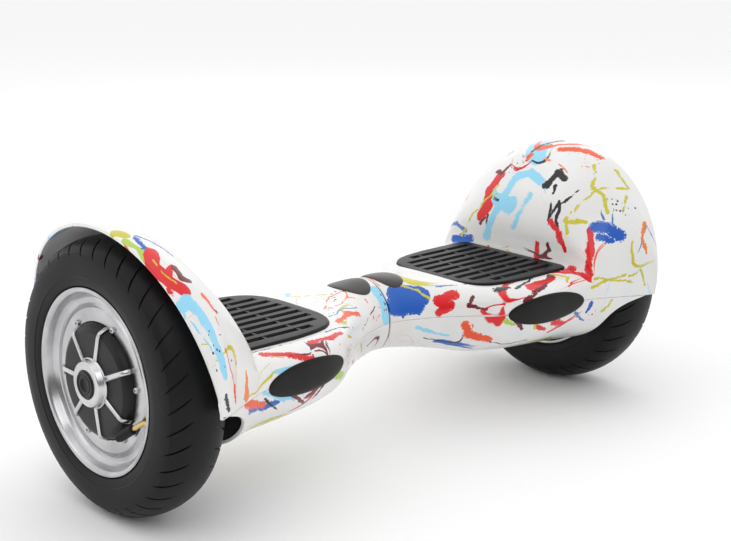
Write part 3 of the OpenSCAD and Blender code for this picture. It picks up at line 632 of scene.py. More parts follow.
def turned_metal(name, colour, roughness, rings=0.3):
    """Metal turned on a lathe: fine rings about the axle, with faint stains."""
    material, t, shader = new_paint(name, Metallic=1.0)
    place = t.place()
    axes = t.add("ShaderNodeSeparateXYZ", {0: place}).outputs
    up = t.math("SUBTRACT", axes["Z"], AXLE_Z * MM)
    radius = t.math("SQRT", t.math("ADD", t.math("MULTIPLY", axes["Y"], axes["Y"]),
                                   t.math("MULTIPLY", up, up)))
    lathe = t.add("ShaderNodeCombineXYZ", {0: radius, 1: t.math("MULTIPLY", axes["X"], 0.8)}).outputs[0]
    ring = t.noise(lathe, 2600.0, 2, 0.7).outputs["Fac"]
    stain = t.noise(place, 26, 4, 0.6).outputs["Fac"]
    darker = tuple(c * 0.72 for c in colour)
    t.put(shader.inputs["Base Color"], t.ramp(stain, [(0.3, darker), (0.6, colour)]))
    t.put(shader.inputs["Roughness"], t.math("ADD", t.math("MULTIPLY", ring, 0.16),
                                             t.math("MULTIPLY_ADD", stain, 0.14, roughness - 0.14)))
    bump = t.add("ShaderNodeBump", {"Height": ring, "Strength": rings, "Distance": 0.0001})
    t.put(shader.inputs["Normal"], bump.outputs[0])
    return material


def cast_metal(name, colour, roughness, size=420.0):
    """Sand-cast or drawn metal with a soft uneven skin."""
    material, t, shader = new_paint(name, Metallic=1.0)
    place = t.place()
    skin = t.noise(place, size, 3, 0.6).outputs["Fac"]
    broad = t.noise(place, 30, 3).outputs["Fac"]
    darker = tuple(c * 0.75 for c in colour)
    t.put(shader.inputs["Base Color"], t.ramp(broad, [(0.3, darker), (0.65, colour)]))
    t.put(shader.inputs["Roughness"], t.math("MULTIPLY_ADD", skin, 0.2, roughness - 0.1))
    bump = t.add("ShaderNodeBump", {"Height": skin, "Strength": 0.2, "Distance": 0.0003})
    t.put(shader.inputs["Normal"], bump.outputs[0])
    return material


tyre_rubber = moulded("tyre_rubber", (0.0065, 0.0065, 0.007), 0.46, 700.0, 0.7, 0.3, 0.15,
                      Specular_IOR_Level=0.19)
pad_rubber = moulded("pad_rubber", (0.0065, 0.0065, 0.007), 0.38, 1500.0, 0.8, 0.35, 0.15,
                     Specular_IOR_Level=0.22)
tube_rubber = moulded("tube_rubber", (0.02, 0.02, 0.02), 0.6)
black_plastic = moulded("black_plastic", (0.01, 0.01, 0.011), 0.4, Specular_IOR_Level=0.3)
lens_black = moulded("lens_black", (0.009, 0.0085, 0.008), 0.34, 300.0, 0.3, 0.05, 0.08,
                     Specular_IOR_Level=0.2)
lens_smoke = moulded("lens_smoke", (0.034, 0.029, 0.027), 0.32, 300.0, 0.3, 0.05, 0.1,
                     Specular_IOR_Level=0.4)
button_red = moulded("button_red", (0.5, 0.02, 0.015), 0.3)
board_green = moulded("board_green", (0.02, 0.13, 0.05), 0.35)
battery_blue = moulded("battery_blue", (0.03, 0.08, 0.35), 0.3)
cover_black = moulded("cover_black", (0.008, 0.008, 0.0085), 0.36, 1100.0, 0.5, 0.2, 0.15,
                      Specular_IOR_Level=0.26)
rim_silver = turned_metal("rim_silver", (0.56, 0.56, 0.57), 0.22)
hub_silver = turned_metal("hub_silver", (0.62, 0.62, 0.63), 0.22, 0.4)
cast_silver = cast_metal("cast_silver", (0.6, 0.61, 0.62), 0.42)
steel = cast_metal("steel", (0.62, 0.62, 0.63), 0.3, size=900.0)
heat_sink = cast_metal("heat_sink", (0.25, 0.26, 0.27), 0.4)
copper = cast_metal("copper", (0.65, 0.27, 0.12), 0.35, size=1500.0)
brass = cast_metal("brass", (0.72, 0.52, 0.22), 0.25, size=900.0)

NODE_FINISH = {
    "painted_shell": black_plastic, "black_rubber": pad_rubber, "tyre_rubber": tyre_rubber,
    "black_lens": lens_black, "smoked_lens": lens_smoke, "bright_aluminium": rim_silver,
    "cast_aluminium": cast_silver, "black_cover": cover_black, "steel": steel, "copper": copper,
    "brass": brass, "circuit_board": board_green, "battery_case": battery_blue,
    "heat_sink": heat_sink, "black_plastic": black_plastic, "button_plastic": button_red}
for part in frame["record"]["subparts"]:
    mesh = frame["nodes"][part["node"]].data
    mesh.materials.clear()
    finish = tube_rubber if part["node"].endswith("inner_tube") else NODE_FINISH[part["material_slot"]]
    mesh.materials.append(finish)

# ---- painted marks on the shells -----------------------------------------

# A stroke is laid this much wider than its half width says, since its ragged edge eats into it.
BRUSH_GAIN = 1.18


def painted(form, mirror, marks):
    """Brush marks laid on the body: each gives a colour, half width in mm, taper, dryness and corners."""
    out = []
    for colour, width, taper, dry, corners in marks:
        points = [tuple(form(s, a) * [mirror, 1, 1] * MM) for s, a in corners]
        out.append((colour, points, width * BRUSH_GAIN * MM, taper, dry))
    return out


RIGHT_TOP = [
    # neck
    (BLUE, 11, 0, 0.3, [(0.9, 40), (1.9, 36)]),
    (BLUE, 9, 0.2, 0.4, [(0.5, 22), (1.7, 20)]),
    (BLUE, 2.2, 0.5, 0.3, [(0.9, 14), (0.9, 3)]),
    (BLUE, 2.6, 0.5, 0.3, [(1.6, 12), (1.7, 5)]),
    (STEEL_BLUE, 3.4, 0.4, 0.9, [(2.9, 52), (4.2, 66)]),
    (OLIVE, 2.4, 0.3, 0.7, [(1.1, 62), (2.0, 46), (2.3, 28)]),
    (RED, 5.4, 0.2, 0.4, [(3.2, 33), (2.6, 24), (2.9, 13), (2.5, 4)]),
    (MAROON, 2.6, 0.4, 0.5, [(3.7, 26), (3.5, 10), (4.0, 4)]),
    # front of the deck
    (INK, 4.6, 0.3, 0.6, [(4.6, 44), (5.0, 48)]),
    (INK, 3.0, 0.6, 0.8, [(5.1, 42), (5.7, 56)]),
    (MAROON, 4.2, 0.4, 0.4, [(6.2, 52), (5.7, 36), (5.1, 8)]),
    (RED, 5.5, 0.5, 0.4, [(5.4, 40), (6.1, 46)]),
    (OLIVE, 3.4, 0.2, 0.8, [(6.3, 54), (6.55, 42), (6.35, 32)]),
    (RED, 4.0, 0.2, 0.4, [(6.1, 66), (7.0, 52), (7.5, 34), (7.9, 26)]),
    (RED, 4.4, 0.5, 0.5, [(7.9, 55), (7.4, 58), (6.8, 60)]),
    (RED, 4.6, 0.3, 0.4, [(8.6, 30), (10.4, 32), (11.2, 42)]),
    (OLIVE, 2.6, 0.1, 0.8, [(8.0, 8), (11.0, 7), (12.9, 9)]),
    (OLIVE, 2.2, 0.1, 0.8, [(9.5, 14), (13.6, 5)]),
    # inner face of the hood
    (STEEL_BLUE, 4.0, 0.2, 0.8, [(9.2, 125), (10.0, 142), (10.6, 156)]),
    (BLUE, 6.2, 0.3, 0.5, [(8.3, 116), (8.6, 140)]),
    (OLIVE, 1.6, 0.2, 0.5, [(8.8, 128), (10.1, 122), (10.9, 108)]),
    (RED, 6.4, 0.2, 0.3, [(11.9, 112), (11.2, 116), (10.4, 111), (10.0, 114)]),
    (OLIVE, 1.5, 0.2, 0.5, [(10.5, 117), (10.9, 112), (11.4, 110)]),
    (MAROON, 2.6, 0.2, 0.3, [(12.3, 117), (12.0, 112), (12.5, 109)]),
    (MAROON, 2.0, 0.5, 0.4, [(9.6, 112), (10.0, 108), (9.4, 106)]),
    (SKY, 5.2, 0.1, 0.4, [(9.0, 104), (10.6, 102), (11.7, 100), (12.0, 93), (11.7, 85)]),
    (SKY, 4.2, 0.2, 0.6, [(11.0, 88), (9.6, 91)]),
    (SKY, 1.6, 0.6, 0.3, [(11.8, 86), (11.3, 80)]),
    (INK, 4.6, 0.3, 0.4, [(11.6, 81), (12.4, 78), (12.2, 73)]),
    (INK, 2.0, 0.1, 0.4, [(11.7, 76), (10.3, 74), (11.2, 69), (10.2, 67)]),
    (INK, 2.4, 0.5, 0.6, [(10.7, 72), (11.3, 66), (12.1, 62)]),
    (RED, 4.2, 0.4, 0.5, [(10.3, 72), (9.9, 65), (9.3, 61)]),
    (MAROON, 3.2, 0.3, 0.6, [(15.1, 92), (14.2, 98), (13.4, 101)]),
    (MAROON, 2.4, 0.5, 0.8, [(14.3, 94), (13.9, 99)]),
    (SCARLET, 4.2, 0.3, 0.5, [(13.1, 100), (12.7, 100)]),
    (INK, 3.4, 0.6, 0.9, [(15.2, 112), (14.1, 116), (13.6, 118)]),
    (INK, 1.2, 0.3, 0.9, [(15.0, 120), (14.2, 126), (13.5, 128)]),
    (ORANGE, 1.0, 0.1, 0.2, [(12.8, 99), (12.9, 90), (12.8, 82), (12.6, 74)]),
    (ORANGE, 2.4, 0.2, 0.9, [(12.9, 89), (12.9, 84)]),
    (SCARLET, 5.2, 0.2, 0.5, [(13.9, 86), (14.7, 76), (15.0, 68)]),
    (SCARLET, 0.6, 0.4, 0.6, [(14.0, 82), (13.5, 80)]),
    (SCARLET, 0.6, 0.4, 0.6, [(14.3, 78), (13.7, 76)]),
    (SCARLET, 0.6, 0.4, 0.6, [(14.5, 74), (13.9, 72)]),
    (OLIVE, 2.8, 0.1, 0.7, [(14.0, 66), (12.8, 57), (13.0, 50), (12.6, 42)]),
    (OLIVE, 2.4, 0.2, 0.8, [(14.6, 48), (12.9, 55), (11.6, 57), (10.6, 60)]),
    (OLIVE, 3.6, 0.2, 0.9, [(15.0, 58), (14.8, 48)]),
    (OLIVE, 2.2, 0.2, 0.8, [(14.3, 44), (13.6, 38)]),
    (OLIVE, 3.0, 0.2, 0.5, [(10.6, 61), (10.9, 54), (11.3, 47)]),
    (OLIVE, 2.4, 0.4, 0.4, [(10.2, 58), (10.6, 62), (11.1, 60)]),
    (BLUE, 6.6, 0.1, 0.5, [(11.6, 40), (12.3, 34), (12.9, 28)]),
    (BLUE, 5.0, 0.2, 0.6, [(11.5, 34), (12.2, 28)]),
    (STEEL_BLUE, 1.8, 0.6, 0.8, [(12.2, 40), (12.5, 48)]),
    (STEEL_BLUE, 1.8, 0.6, 0.8, [(12.6, 36), (13.1, 42)]),
    (ORANGE, 3.6, 0.3, 0.9, [(15.0, 30), (14.4, 24), (14.7, 17)]),
    (OLIVE, 2.0, 0.3, 0.8, [(13.2, 8), (14.2, 10), (14.5, 3)])]

LEFT_TOP = [
    # neck
    (SKY, 5.0, 0.0, 0.4, [(0.4, 55), (0.4, 20), (0.4, 2)]),
    (INK, 0.7, 0.0, 0.2, [(1.0, 30), (2.6, 8)]),
    (ORANGE, 1.2, 0.0, 0.5, [(3.6, 76), (2.8, 82), (1.9, 78), (2.2, 64), (1.4, 46), (1.4, 16)]),
    (ORANGE, 1.0, 0.0, 0.5, [(3.6, 76), (3.0, 66), (2.2, 64)]),
    (STEEL_BLUE, 0.8, 0.0, 0.2, [(3.9, 64), (3.1, 58), (2.3, 44), (2.3, 26)]),
    (SCARLET, 4.0, 0.1, 0.7, [(3.9, 50), (3.0, 46), (2.4, 34)]),
    (OLIVE, 1.6, 0.2, 0.8, [(3.9, 120), (3.2, 96), (2.6, 88)]),
    (OLIVE, 3.0, 0.3, 0.9, [(5.5, 110), (4.6, 112), (4.1, 106)]),
    (MAROON, 1.0, 0.4, 0.5, [(2.3, 28), (2.1, 12)]),
    # front of the deck
    (RED, 3.6, 0.4, 0.5, [(5.4, 44), (5.0, 40), (4.4, 36)]),
    (INK, 1.0, 0.2, 0.3, [(4.9, 52), (4.0, 40), (3.4, 24)]),
    (OLIVE, 3.0, 0.5, 0.8, [(4.1, 22), (3.8, 12)]),
    (OLIVE, 2.0, 0.5, 0.9, [(6.4, 38), (5.9, 18)]),
    (RED, 4.2, 0.2, 0.5, [(6.5, 48), (6.0, 32), (5.6, 14), (5.6, 4)]),
    (MAROON, 1.0, 0.0, 0.4, [(6.0, 30), (5.4, 24), (5.3, 12)]),
    (INK, 1.2, 0.4, 0.8, [(7.2, 58), (6.4, 56), (5.7, 54)]),
    (LIME, 2.0, 0.5, 0.9, [(7.3, 50), (6.7, 46)]),
    # the hood above the wheel
    (BLUE, 5.0, 0.2, 0.7, [(15.8, 168), (15.6, 150)]),
    (MAROON, 4.0, 0.3, 0.6, [(15.8, 140), (15.5, 132)]),
    (SKY, 6.0, 0.3, 0.8, [(15.7, 124), (15.0, 112), (14.6, 98)]),
    (INK, 1.0, 0.2, 0.9, [(14.3, 100), (13.9, 86)]),
    (OLIVE, 5.6, 0.2, 0.3, [(15.6, 78), (15.4, 75)]),
    (LIME, 3.2, 0.2, 0.4, [(15.7, 72), (15.6, 66), (15.8, 60)]),
    (BLUE, 4.4, 0.4, 0.7, [(15.0, 72), (15.2, 66), (15.4, 62)]),
    (STEEL_BLUE, 3.6, 0.4, 0.8, [(14.8, 74), (14.1, 70), (13.6, 63)]),
    (RED, 6.2, 0.1, 0.2, [(15.1, 63), (15.7, 57), (15.4, 49), (14.9, 45)]),
    (RED, 4.2, 0.5, 0.4, [(15.3, 52), (14.5, 56)]),
    (OLIVE, 1.0, 0.0, 0.3, [(15.3, 60), (15.5, 54), (15.1, 48)]),
    (MAROON, 3.2, 0.1, 0.3, [(14.4, 55), (14.5, 50), (14.0, 49)]),
    (RED, 2.8, 0.3, 0.5, [(15.9, 46), (15.8, 43)]),
    (SKY, 5.2, 0.1, 0.4, [(15.7, 40), (15.1, 41), (14.7, 35), (14.6, 22), (14.7, 14)]),
    (SKY, 1.6, 0.3, 0.6, [(15.8, 38), (15.5, 27), (15.0, 19)]),
    (SCARLET, 3.4, 0.5, 0.5, [(13.5, 43), (13.1, 37)]),
    (MAROON, 1.8, 0.6, 0.6, [(13.1, 38), (12.6, 36)]),
    (SCARLET, 1.1, 0.2, 0.7, [(13.4, 37), (13.8, 22), (13.9, 8)]),
    (ORANGE, 4.6, 0.7, 0.4, [(12.2, 1), (11.8, 12)]),
    (SCARLET, 2.6, 0.2, 0.7, [(13.8, 8), (14.0, 2)]),
    (INK, 3.4, 0.2, 0.6, [(15.2, 6), (15.1, 1)])]

RIGHT_LOW = [
    (MAROON, 3.4, 0.3, 0.6, [(0.47, -8), (0.53, -17)]),
    (RED, 5.0, 0.2, 0.5, [(0.66, -7), (0.7, -16), (0.76, -20)]),
    (RED, 3.2, 0.3, 0.5, [(0.6, -18), (0.67, -24)]),
    (OLIVE, 3.6, 0.3, 0.7, [(0.56, -9), (0.6, -20)]),
    (SCARLET, 5.4, 0.2, 0.5, [(0.3, -12), (0.33, -24), (0.41, -30)]),
    (SKY, 3.6, 0.4, 0.8, [(0.12, -14), (0.26, -28)]),
    (LIME, 4.4, 0.4, 0.9, [(0.42, -8), (0.47, -11)]),
    (BLUE, 4.4, 0.4, 0.8, [(0.83, -5), (0.87, -13)]),
    (STEEL_BLUE, 3.0, 0.4, 0.9, [(0.8, -12), (0.9, -22)]),
    (OLIVE, 2.2, 0.1, 0.8, [(0.9, -4), (0.94, -14)]),
    (MAROON, 1.4, 0.2, 0.5, [(0.42, -34), (0.52, -40), (0.62, -36)])]

LEFT_LOW = [
    (MAROON, 1.8, 0.1, 0.5, [(0.62, -3), (0.57, -14), (0.62, -26)]),
    (MAROON, 2.2, 0.1, 0.5, [(0.72, -4), (0.7, -18), (0.66, -28)]),
    (LIME, 6.4, 0.4, 0.5, [(0.5, -6), (0.44, -15)]),
    (BLUE, 5.0, 0.3, 0.7, [(0.93, -8), (0.86, -14), (0.8, -14)]),
    (SKY, 3.0, 0.3, 0.8, [(0.8, -3), (0.77, -15)]),
    (SCARLET, 4.6, 0.5, 0.5, [(0.89, -2), (0.86, -12)]),
    (INK, 2.0, 0.4, 0.8, [(0.84, -8), (0.81, -22)]),
    (OLIVE, 3.4, 0.4, 0.8, [(0.22, -8), (0.2, -20)]),
    (RED, 3.0, 0.4, 0.7, [(0.32, -16), (0.26, -30)])]

# The top shells are painted in parts, so that each part carries only the marks that reach it:
# first and last ridge row, lowest and highest angle.
TOP_PARTS = [(0, 4.3, -10, 190), (4.3, 8.4, -10, 190), (8.4, 16, -10, 32), (8.4, 16, 32, 54),
             (8.4, 16, 54, 78), (8.4, 16, 78, 102), (8.4, 16, 102, 190)]
LOW_PARTS = [(0, 1, -190, 0)]

# Typical length of one ridge row of the upper form, and of the whole of the lower form, in millimetres.
ROW_LENGTH = 13.0
LOW_LENGTH = 240.0
# Room round a stroke for its wandering edge, and degrees to a millimetre on the neck and further out.
STROKE_ROOM = 6
NECK_ROWS = 5
NECK_DEGREES = 1.5
DECK_DEGREES = 0.8


def reaching(marks, part, row_length):
    """The marks cut down to the strokes that touch a part of the body."""
    first, last, low, high = part
    kept = []
    for colour, width, taper, dry, corners in marks:
        room = width + STROKE_ROOM
        rows, degrees = room / row_length, room * (NECK_DEGREES if last < NECK_ROWS else DECK_DEGREES)
        for one, two in zip(corners[:-1], corners[1:]):
            inside = (max(one[0], two[0]) > first - rows and min(one[0], two[0]) < last + rows
                      and max(one[1], two[1]) > low - degrees and min(one[1], two[1]) < high + degrees)
            if inside:
                kept.append((colour, width, taper, dry, [one, two]))
    return kept


def shell_paints(name, form, mirror, marks, parts, row_length):
    return [painted_shell(f"{name}_{i}", painted(form, mirror, reaching(marks, part, row_length)))
            for i, part in enumerate(parts)]


SHELL_PAINT = {}
MARKS = {"right": (RIGHT_TOP, RIGHT_LOW), "left": (LEFT_TOP, LEFT_LOW)}
for side, mirror in SIDES:
    top_marks, low_marks = MARKS[side]
    SHELL_PAINT[side, "top"] = shell_paints(f"paint_{side}_top", upper_form, mirror, top_marks,
                                            TOP_PARTS, ROW_LENGTH)
    SHELL_PAINT[side, "bottom"] = shell_paints(f"paint_{side}_bottom", lower_form, mirror, low_marks,
                                               LOW_PARTS, LOW_LENGTH)

# ---- smooth shells -------------------------------------------------------

# Rounding of the shells' edges, and where its points lie, as shares of the strip beside an edge.
EDGE_R = 0.7
EDGE_STEPS = (0, 0.12, 0.3, 0.6, 1.0)
# Width of the shell that a window covers round its hole.
LENS_RIM = 3.0
# Clearance round the pads, the button and the socket.
PAD_SLIP = 0.4
# The seam's slit on the top shell's side.
SEAM_SLIT = 0.15
# Rows over which a slope is taken, on the upper and on the lower form.
TOP_STEP = 0.04
LOW_STEP = 0.004


def spread(low, high, count, reach):
    """Even values from low to high, with extra ones close to both ends for the rounded edges."""
    near = [reach * v for v in EDGE_STEPS]
    middle = np.linspace(low + reach * 2, high - reach * 2, count)
    return np.array([low + v for v in near] + list(middle) + [high - v for v in reversed(near)])


def shell_grid(form, rows, angles, span, step, wall):
    """Outer and inner sheets of a shell, with its four edges rounded over."""
    s, a = np.meshgrid(rows, angles, indexing="ij")
    points, normals = form_frame(form, s, a, span, step)
    gaps = [np.linalg.norm(points - points[k], axis=-1) for k in (0, -1)]
    gaps += [np.linalg.norm(points - points[:, k][:, None], axis=-1) for k in (0, -1)]
    near = np.minimum.reduce(gaps)
    inset = EDGE_R - np.sqrt(np.maximum(0, EDGE_R ** 2 - np.maximum(0, EDGE_R - near) ** 2))
    return points - normals * inset[..., None], points - normals * wall


def shell_faces(m, k):
    back = m * k
    faces = [tuple(reversed(f)) for f in grid_faces(m, k)] + grid_faces(m, k, back)
    ring = [(i, 0) for i in range(m)] + [(m - 1, j) for j in range(1, k)]
    ring += [(i, k - 1) for i in range(m - 2, -1, -1)] + [(0, j) for j in range(k - 2, 0, -1)]
    for (i, j), (p, q) in zip(ring, ring[1:] + ring[:1]):
        faces.append((i * k + j, p * k + q, back + p * k + q, back + i * k + j))
    return faces


def make_shell(name, form, rows, angles, span, step, mirror, body, paints, parts):
    outer, inner = shell_grid(form, rows, angles, span, step, WALL)
    points = np.concatenate([outer.reshape(-1, 3), inner.reshape(-1, 3)])
    m, k = len(rows), len(angles)
    faces = shell_faces(m, k)
    piece = make_piece(name, points, faces, body, paints[0], mirror)
    for paint in paints[1:]:
        piece.data.materials.append(paint)
    for polygon, corners in zip(piece.data.polygons, faces):
        s = np.mean([rows[(c % (m * k)) // k] for c in corners])
        a = np.mean([angles[c % k] for c in corners])
        for i, (first, last, low, high) in enumerate(parts):
            if first <= s <= last and low <= a <= high:
                polygon.material_index = i
    outward(piece)
    return piece


def half_outline():
    """Pad outline on the front side, from the inner end to the wheel, taken from the pad's box."""
    x0, x1, wide = pad_low[0], pad_high[0], pad_high[1]
    return [(x0, 34), (x0 + 3, 48), (x0 + 10, 60), (x0 + 22, wide - 8), (x0 + 40, wide - 3),
            (x0 + 66, wide), (x1 - 8, wide), (x1 - 2.5, wide - 2.5), (x1, wide - 9)]


def pad_outline(grow=0.0):
    half = half_outline()
    ring = np.array(half + [(x, -y) for x, y in reversed(half)])
    ring = np.array(soft_corners(ring, 6, 4))
    if not grow:
        return [tuple(p) for p in ring]
    ahead, behind = np.roll(ring, -1, 0), np.roll(ring, 1, 0)
    run = unit(ahead - behind)
    return [tuple(p) for p in ring + np.stack([-run[:, 1], run[:, 0]], -1) * grow]


def rod(name, centre, axis, radius, length, mirror=1, steps=64, squash=(1.0, 1.0)):
    """An oval or round bar through a point, used as a cutter."""
    axis = unit(np.array(axis, float))
    first = unit(np.cross(axis, (0, 0, 1) if abs(axis[2]) < 0.9 else (1, 0, 0)))
    second = np.cross(axis, first)
    points = []
    for end in (-0.5, 0.5):
        for k in range(steps):
            a = 2 * math.pi * k / steps
            points.append(np.array(centre) + axis * end * length + radius * (
                first * math.cos(a) * squash[0] + second * math.sin(a) * squash[1]))
    faces = [tuple(reversed(range(steps))), tuple(range(steps, 2 * steps))]
    faces += [(i, (i + 1) % steps, steps + (i + 1) % steps, steps + i) for i in range(steps)]
    return make_piece(name, points, faces, None, cutter_paint, mirror)


LAMP_X = (lens_low[0] + lens_high[0]) / 2
LAMP_LONG = (lens_high[0] - lens_low[0]) / 2
LAMP_TALL = (lens_high[2] - lens_low[2]) / 2
SEAM_Z = (lens_high[2] + lens_low[2]) / 2
MARKER_X = (marker_low[0] + marker_high[0]) / 2
MARKER_LONG = (marker_high[0] - marker_low[0]) / 2
MARKER_WIDE = (marker_high[1] - marker_low[1]) / 2
# Screw posts of the bottom shell: places, radius, height of their tops below the axle and how far
# they sink into the floor.
POST_XS = (pad_low[0] + 40, HOOD_X - 13)
POST_Y = 50.0
POST_R = 6.0
POST_TOP = 14.02
POST_SINK = 0.8
# Radius and depth of the screw head's recess, and radius of the screw's hole.
HEAD_R = 4.5
HEAD_DEEP = 4.0
HOLE_R = 2.15
# Length of the bars that cut holes.
CUTTER = 40.0
# Share of the way out and angle of the two round holes in the right half's rear, and their radius.
BUTTON_AT = (0.62, -158)
SOCKET_AT = (0.5, -158)
REAR_HOLE_R = 7.5


def belly_at(x, y):
    share = 1 - (np.abs(y) / plan_at(x, 1)) ** BELLY_ROUND
    return float(plan_at(x, 2) * share ** (1 / BELLY_ROUND))


def belly_spot(at, out):
    """A point on the belly moved outward, and the direction out."""
    point, normal = form_frame(lower_form, np.array([at[0]]), np.array([float(at[1])]), 1, LOW_STEP)
    return point[0] + normal[0] * out, normal[0]


def lamp_cutter(mirror):
    return rod("lamp_hole", (LAMP_X, -DECK_HALF, SEAM_Z), (0, 1, 0), 1, 120, mirror,
               squash=(LAMP_LONG - LENS_RIM, LAMP_TALL - LENS_RIM))


def seam_angle(drop):
    """Degrees below the axle line at which the belly's surface has dropped this far."""
    return math.degrees(math.asin((drop / BELLY) ** (BELLY_ROUND / 2)))


SEAM_UP = seam_angle(SEAM_DROP - SEAM_SLIT)
SEAM_DOWN = seam_angle(SEAM_DROP)
DETAIL = 2
for side, mirror in SIDES:
    body = side + "_half"
    top = make_shell(side + "_top_shell_painted", upper_form, spread(0, ROWS, 90 * DETAIL, 0.06),
                     spread(-SEAM_UP, 180 + SEAM_UP, 72 * DETAIL, 0.5), ROWS, TOP_STEP, mirror, body,
                     SHELL_PAINT[side, "top"], TOP_PARTS)
    cut(top, [prism("pad_hole", pad_outline(PAD_SLIP), AXLE_Z + 8, AXLE_Z + 38, mirror),
              lamp_cutter(mirror),
              rod("marker_hole", (MARKER_X, 0, AXLE_Z + 30), (0, 0, 1), 1, 60, mirror,
                  squash=(MARKER_WIDE - LENS_RIM, MARKER_LONG - LENS_RIM))])
    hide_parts(side + "_top_shell")

    bottom = make_shell(side + "_bottom_shell_painted", lower_form, spread(0, 1, 70 * DETAIL, 0.004),
                        spread(SEAM_DOWN - 180, -SEAM_DOWN, 64 * DETAIL, 0.5), 1, LOW_STEP, mirror, body,
                        SHELL_PAINT[side, "bottom"], LOW_PARTS)
    posts, holes = [], []
    for x in POST_XS:
        for y in (-POST_Y, POST_Y):
            foot = belly_at(x, POST_Y + POST_R) - POST_SINK
            posts.append(rod("post", (x, y, AXLE_Z - (foot + POST_TOP) / 2), (0, 0, 1), POST_R,
                             foot - POST_TOP, mirror, 32))
            holes.append(rod("recess", (x, y, AXLE_Z - foot + HEAD_DEEP - CUTTER / 2), (0, 0, 1),
                             HEAD_R, CUTTER, mirror, 32))
            holes.append(rod("bore", (x, y, AXLE_Z - 30), (0, 0, 1), HOLE_R, 60, mirror, 24))
    join(bottom, posts)
    holes.append(lamp_cutter(mirror))
    if side == "right":
        for at in (BUTTON_AT, SOCKET_AT):
            spot, out = belly_spot(at, 0)
            holes.append(rod("round_hole", spot, out, REAR_HOLE_R + PAD_SLIP, CUTTER, mirror))
    cut(bottom, holes)
    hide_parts(side + "_bottom_shell")


# ---- lamp and marker windows ---------------------------------------------

# Height of a window's underside and of its edge above the body, and of its middle.
LENS_UNDER = 0.28
LENS_EDGE = 0.3
LAMP_PROUD = 1.7
MARKER_PROUD = 1.4
LENS_SHARP = 50
# Distance to each side over which a slope is taken.
SLOPE = 0.2


def row_at(x):
    """Ridge row at a distance from the pivot, on the neck and the deck."""
    rows = np.linspace(0, 8, 400)
    return np.interp(x, ridge_at(rows, 0), rows)


def front_point(x, z):
    """The body's front face at a distance from the pivot and a height."""
    up = z - AXLE_Z
    s = row_at(x)
    high = np.where(up < 0, plan_at(x, 2), ridge_at(s, 1))
    n = np.where(up < 0, BELLY_ROUND, ridge_at(s, 2))
    share = np.clip(1 - (np.abs(up) / high) ** n, 1e-9, 1)
    return np.stack([x, -plan_at(x, 1) * share ** (1 / n), z], -1)


def top_point(x, y):
    """The neck's upper face at a distance from the pivot and from the middle line."""
    s = row_at(x)
    n = ridge_at(s, 2)
    share = np.clip(1 - (np.abs(y) / plan_at(x, 1)) ** n, 1e-9, 1)
    return np.stack([x, y, AXLE_Z + ridge_at(s, 1) * share ** (1 / n)], -1)


def make_lens(name, surface, centre, radii, proud, body, material, mirror):
    """A domed oval window that lies on a face of the body."""
    rings, steps = 22, 96
    points = []
    for outer in (True, False):
        rounds = np.linspace(0, 1, rings) ** 0.8
        for share in rounds:
            for k in range(steps):
                a = 2 * math.pi * k / steps
                u = np.array(centre[0] + radii[0] * share * math.cos(a))
                v = np.array(centre[1] + radii[1] * share * math.sin(a))
                p = surface(u, v)
                normal = unit(np.cross(surface(u + SLOPE, v) - surface(u - SLOPE, v),
                                       surface(u, v + SLOPE) - surface(u, v - SLOPE)))
                dome = LENS_EDGE + (proud - LENS_EDGE) * (1 - share ** 5) ** 0.5
                points.append(p + normal * (dome if outer else LENS_UNDER))
    half = rings * steps
    faces = grid_faces(rings, steps, closed_columns=True)
    faces += [tuple(reversed(f)) for f in grid_faces(rings, steps, half, closed_columns=True)]
    last = (rings - 1) * steps
    faces += [(last + k, last + (k + 1) % steps, half + last + (k + 1) % steps, half + last + k)
              for k in range(steps)]
    piece = make_piece(name, points, faces, body, material, mirror, LENS_SHARP)
    weld(piece, LENS_SHARP)
    return piece


for side, mirror in SIDES:
    lamp = make_lens(side + "_lamp_window", front_point, (LAMP_X, SEAM_Z), (LAMP_LONG, LAMP_TALL),
                     LAMP_PROUD, side + "_half", lens_black, mirror)
    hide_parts(side + "_headlight_lens")
    marker = make_lens(side + "_marker_window", top_point, (MARKER_X, 0), (MARKER_LONG, MARKER_WIDE),
                       MARKER_PROUD, side + "_half", lens_smoke, mirror)
    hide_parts(side + "_indicator_lens")

# ---- ribbed foot pads ----------------------------------------------------

PAD_TOP = pad_high[2]
PAD_BASE = AXLE_Z + DECK_H - 5.5
# Grooves along the pad: their number, the plain border round them, half widths and depths.
GROOVES = 9
GROOVE_END = 9.0
GROOVE_LOW, GROOVE_HIGH = 3.0, 4.0
GROOVE_DEEP = 3.0
GROOVE_SHALLOW = 0.5
# Where the cross ribs lie, as shares of the pad's length.
BRIDGES = (0.36, 0.66)
# The blades under the pad that press on the sensors: place, half sizes and length.
BLADE_X = 62
BLADE_Y = 36
BLADE_LONG, BLADE_WIDE = 6, 1
BLADE_DROP = 8


def pad_reach(y):
    """Inner end of the pad's grooves at a distance from the middle line."""
    half = half_outline()[:6]
    return float(np.interp(abs(y) + GROOVE_END, [p[1] for p in half], [p[0] for p in half])) + GROOVE_END


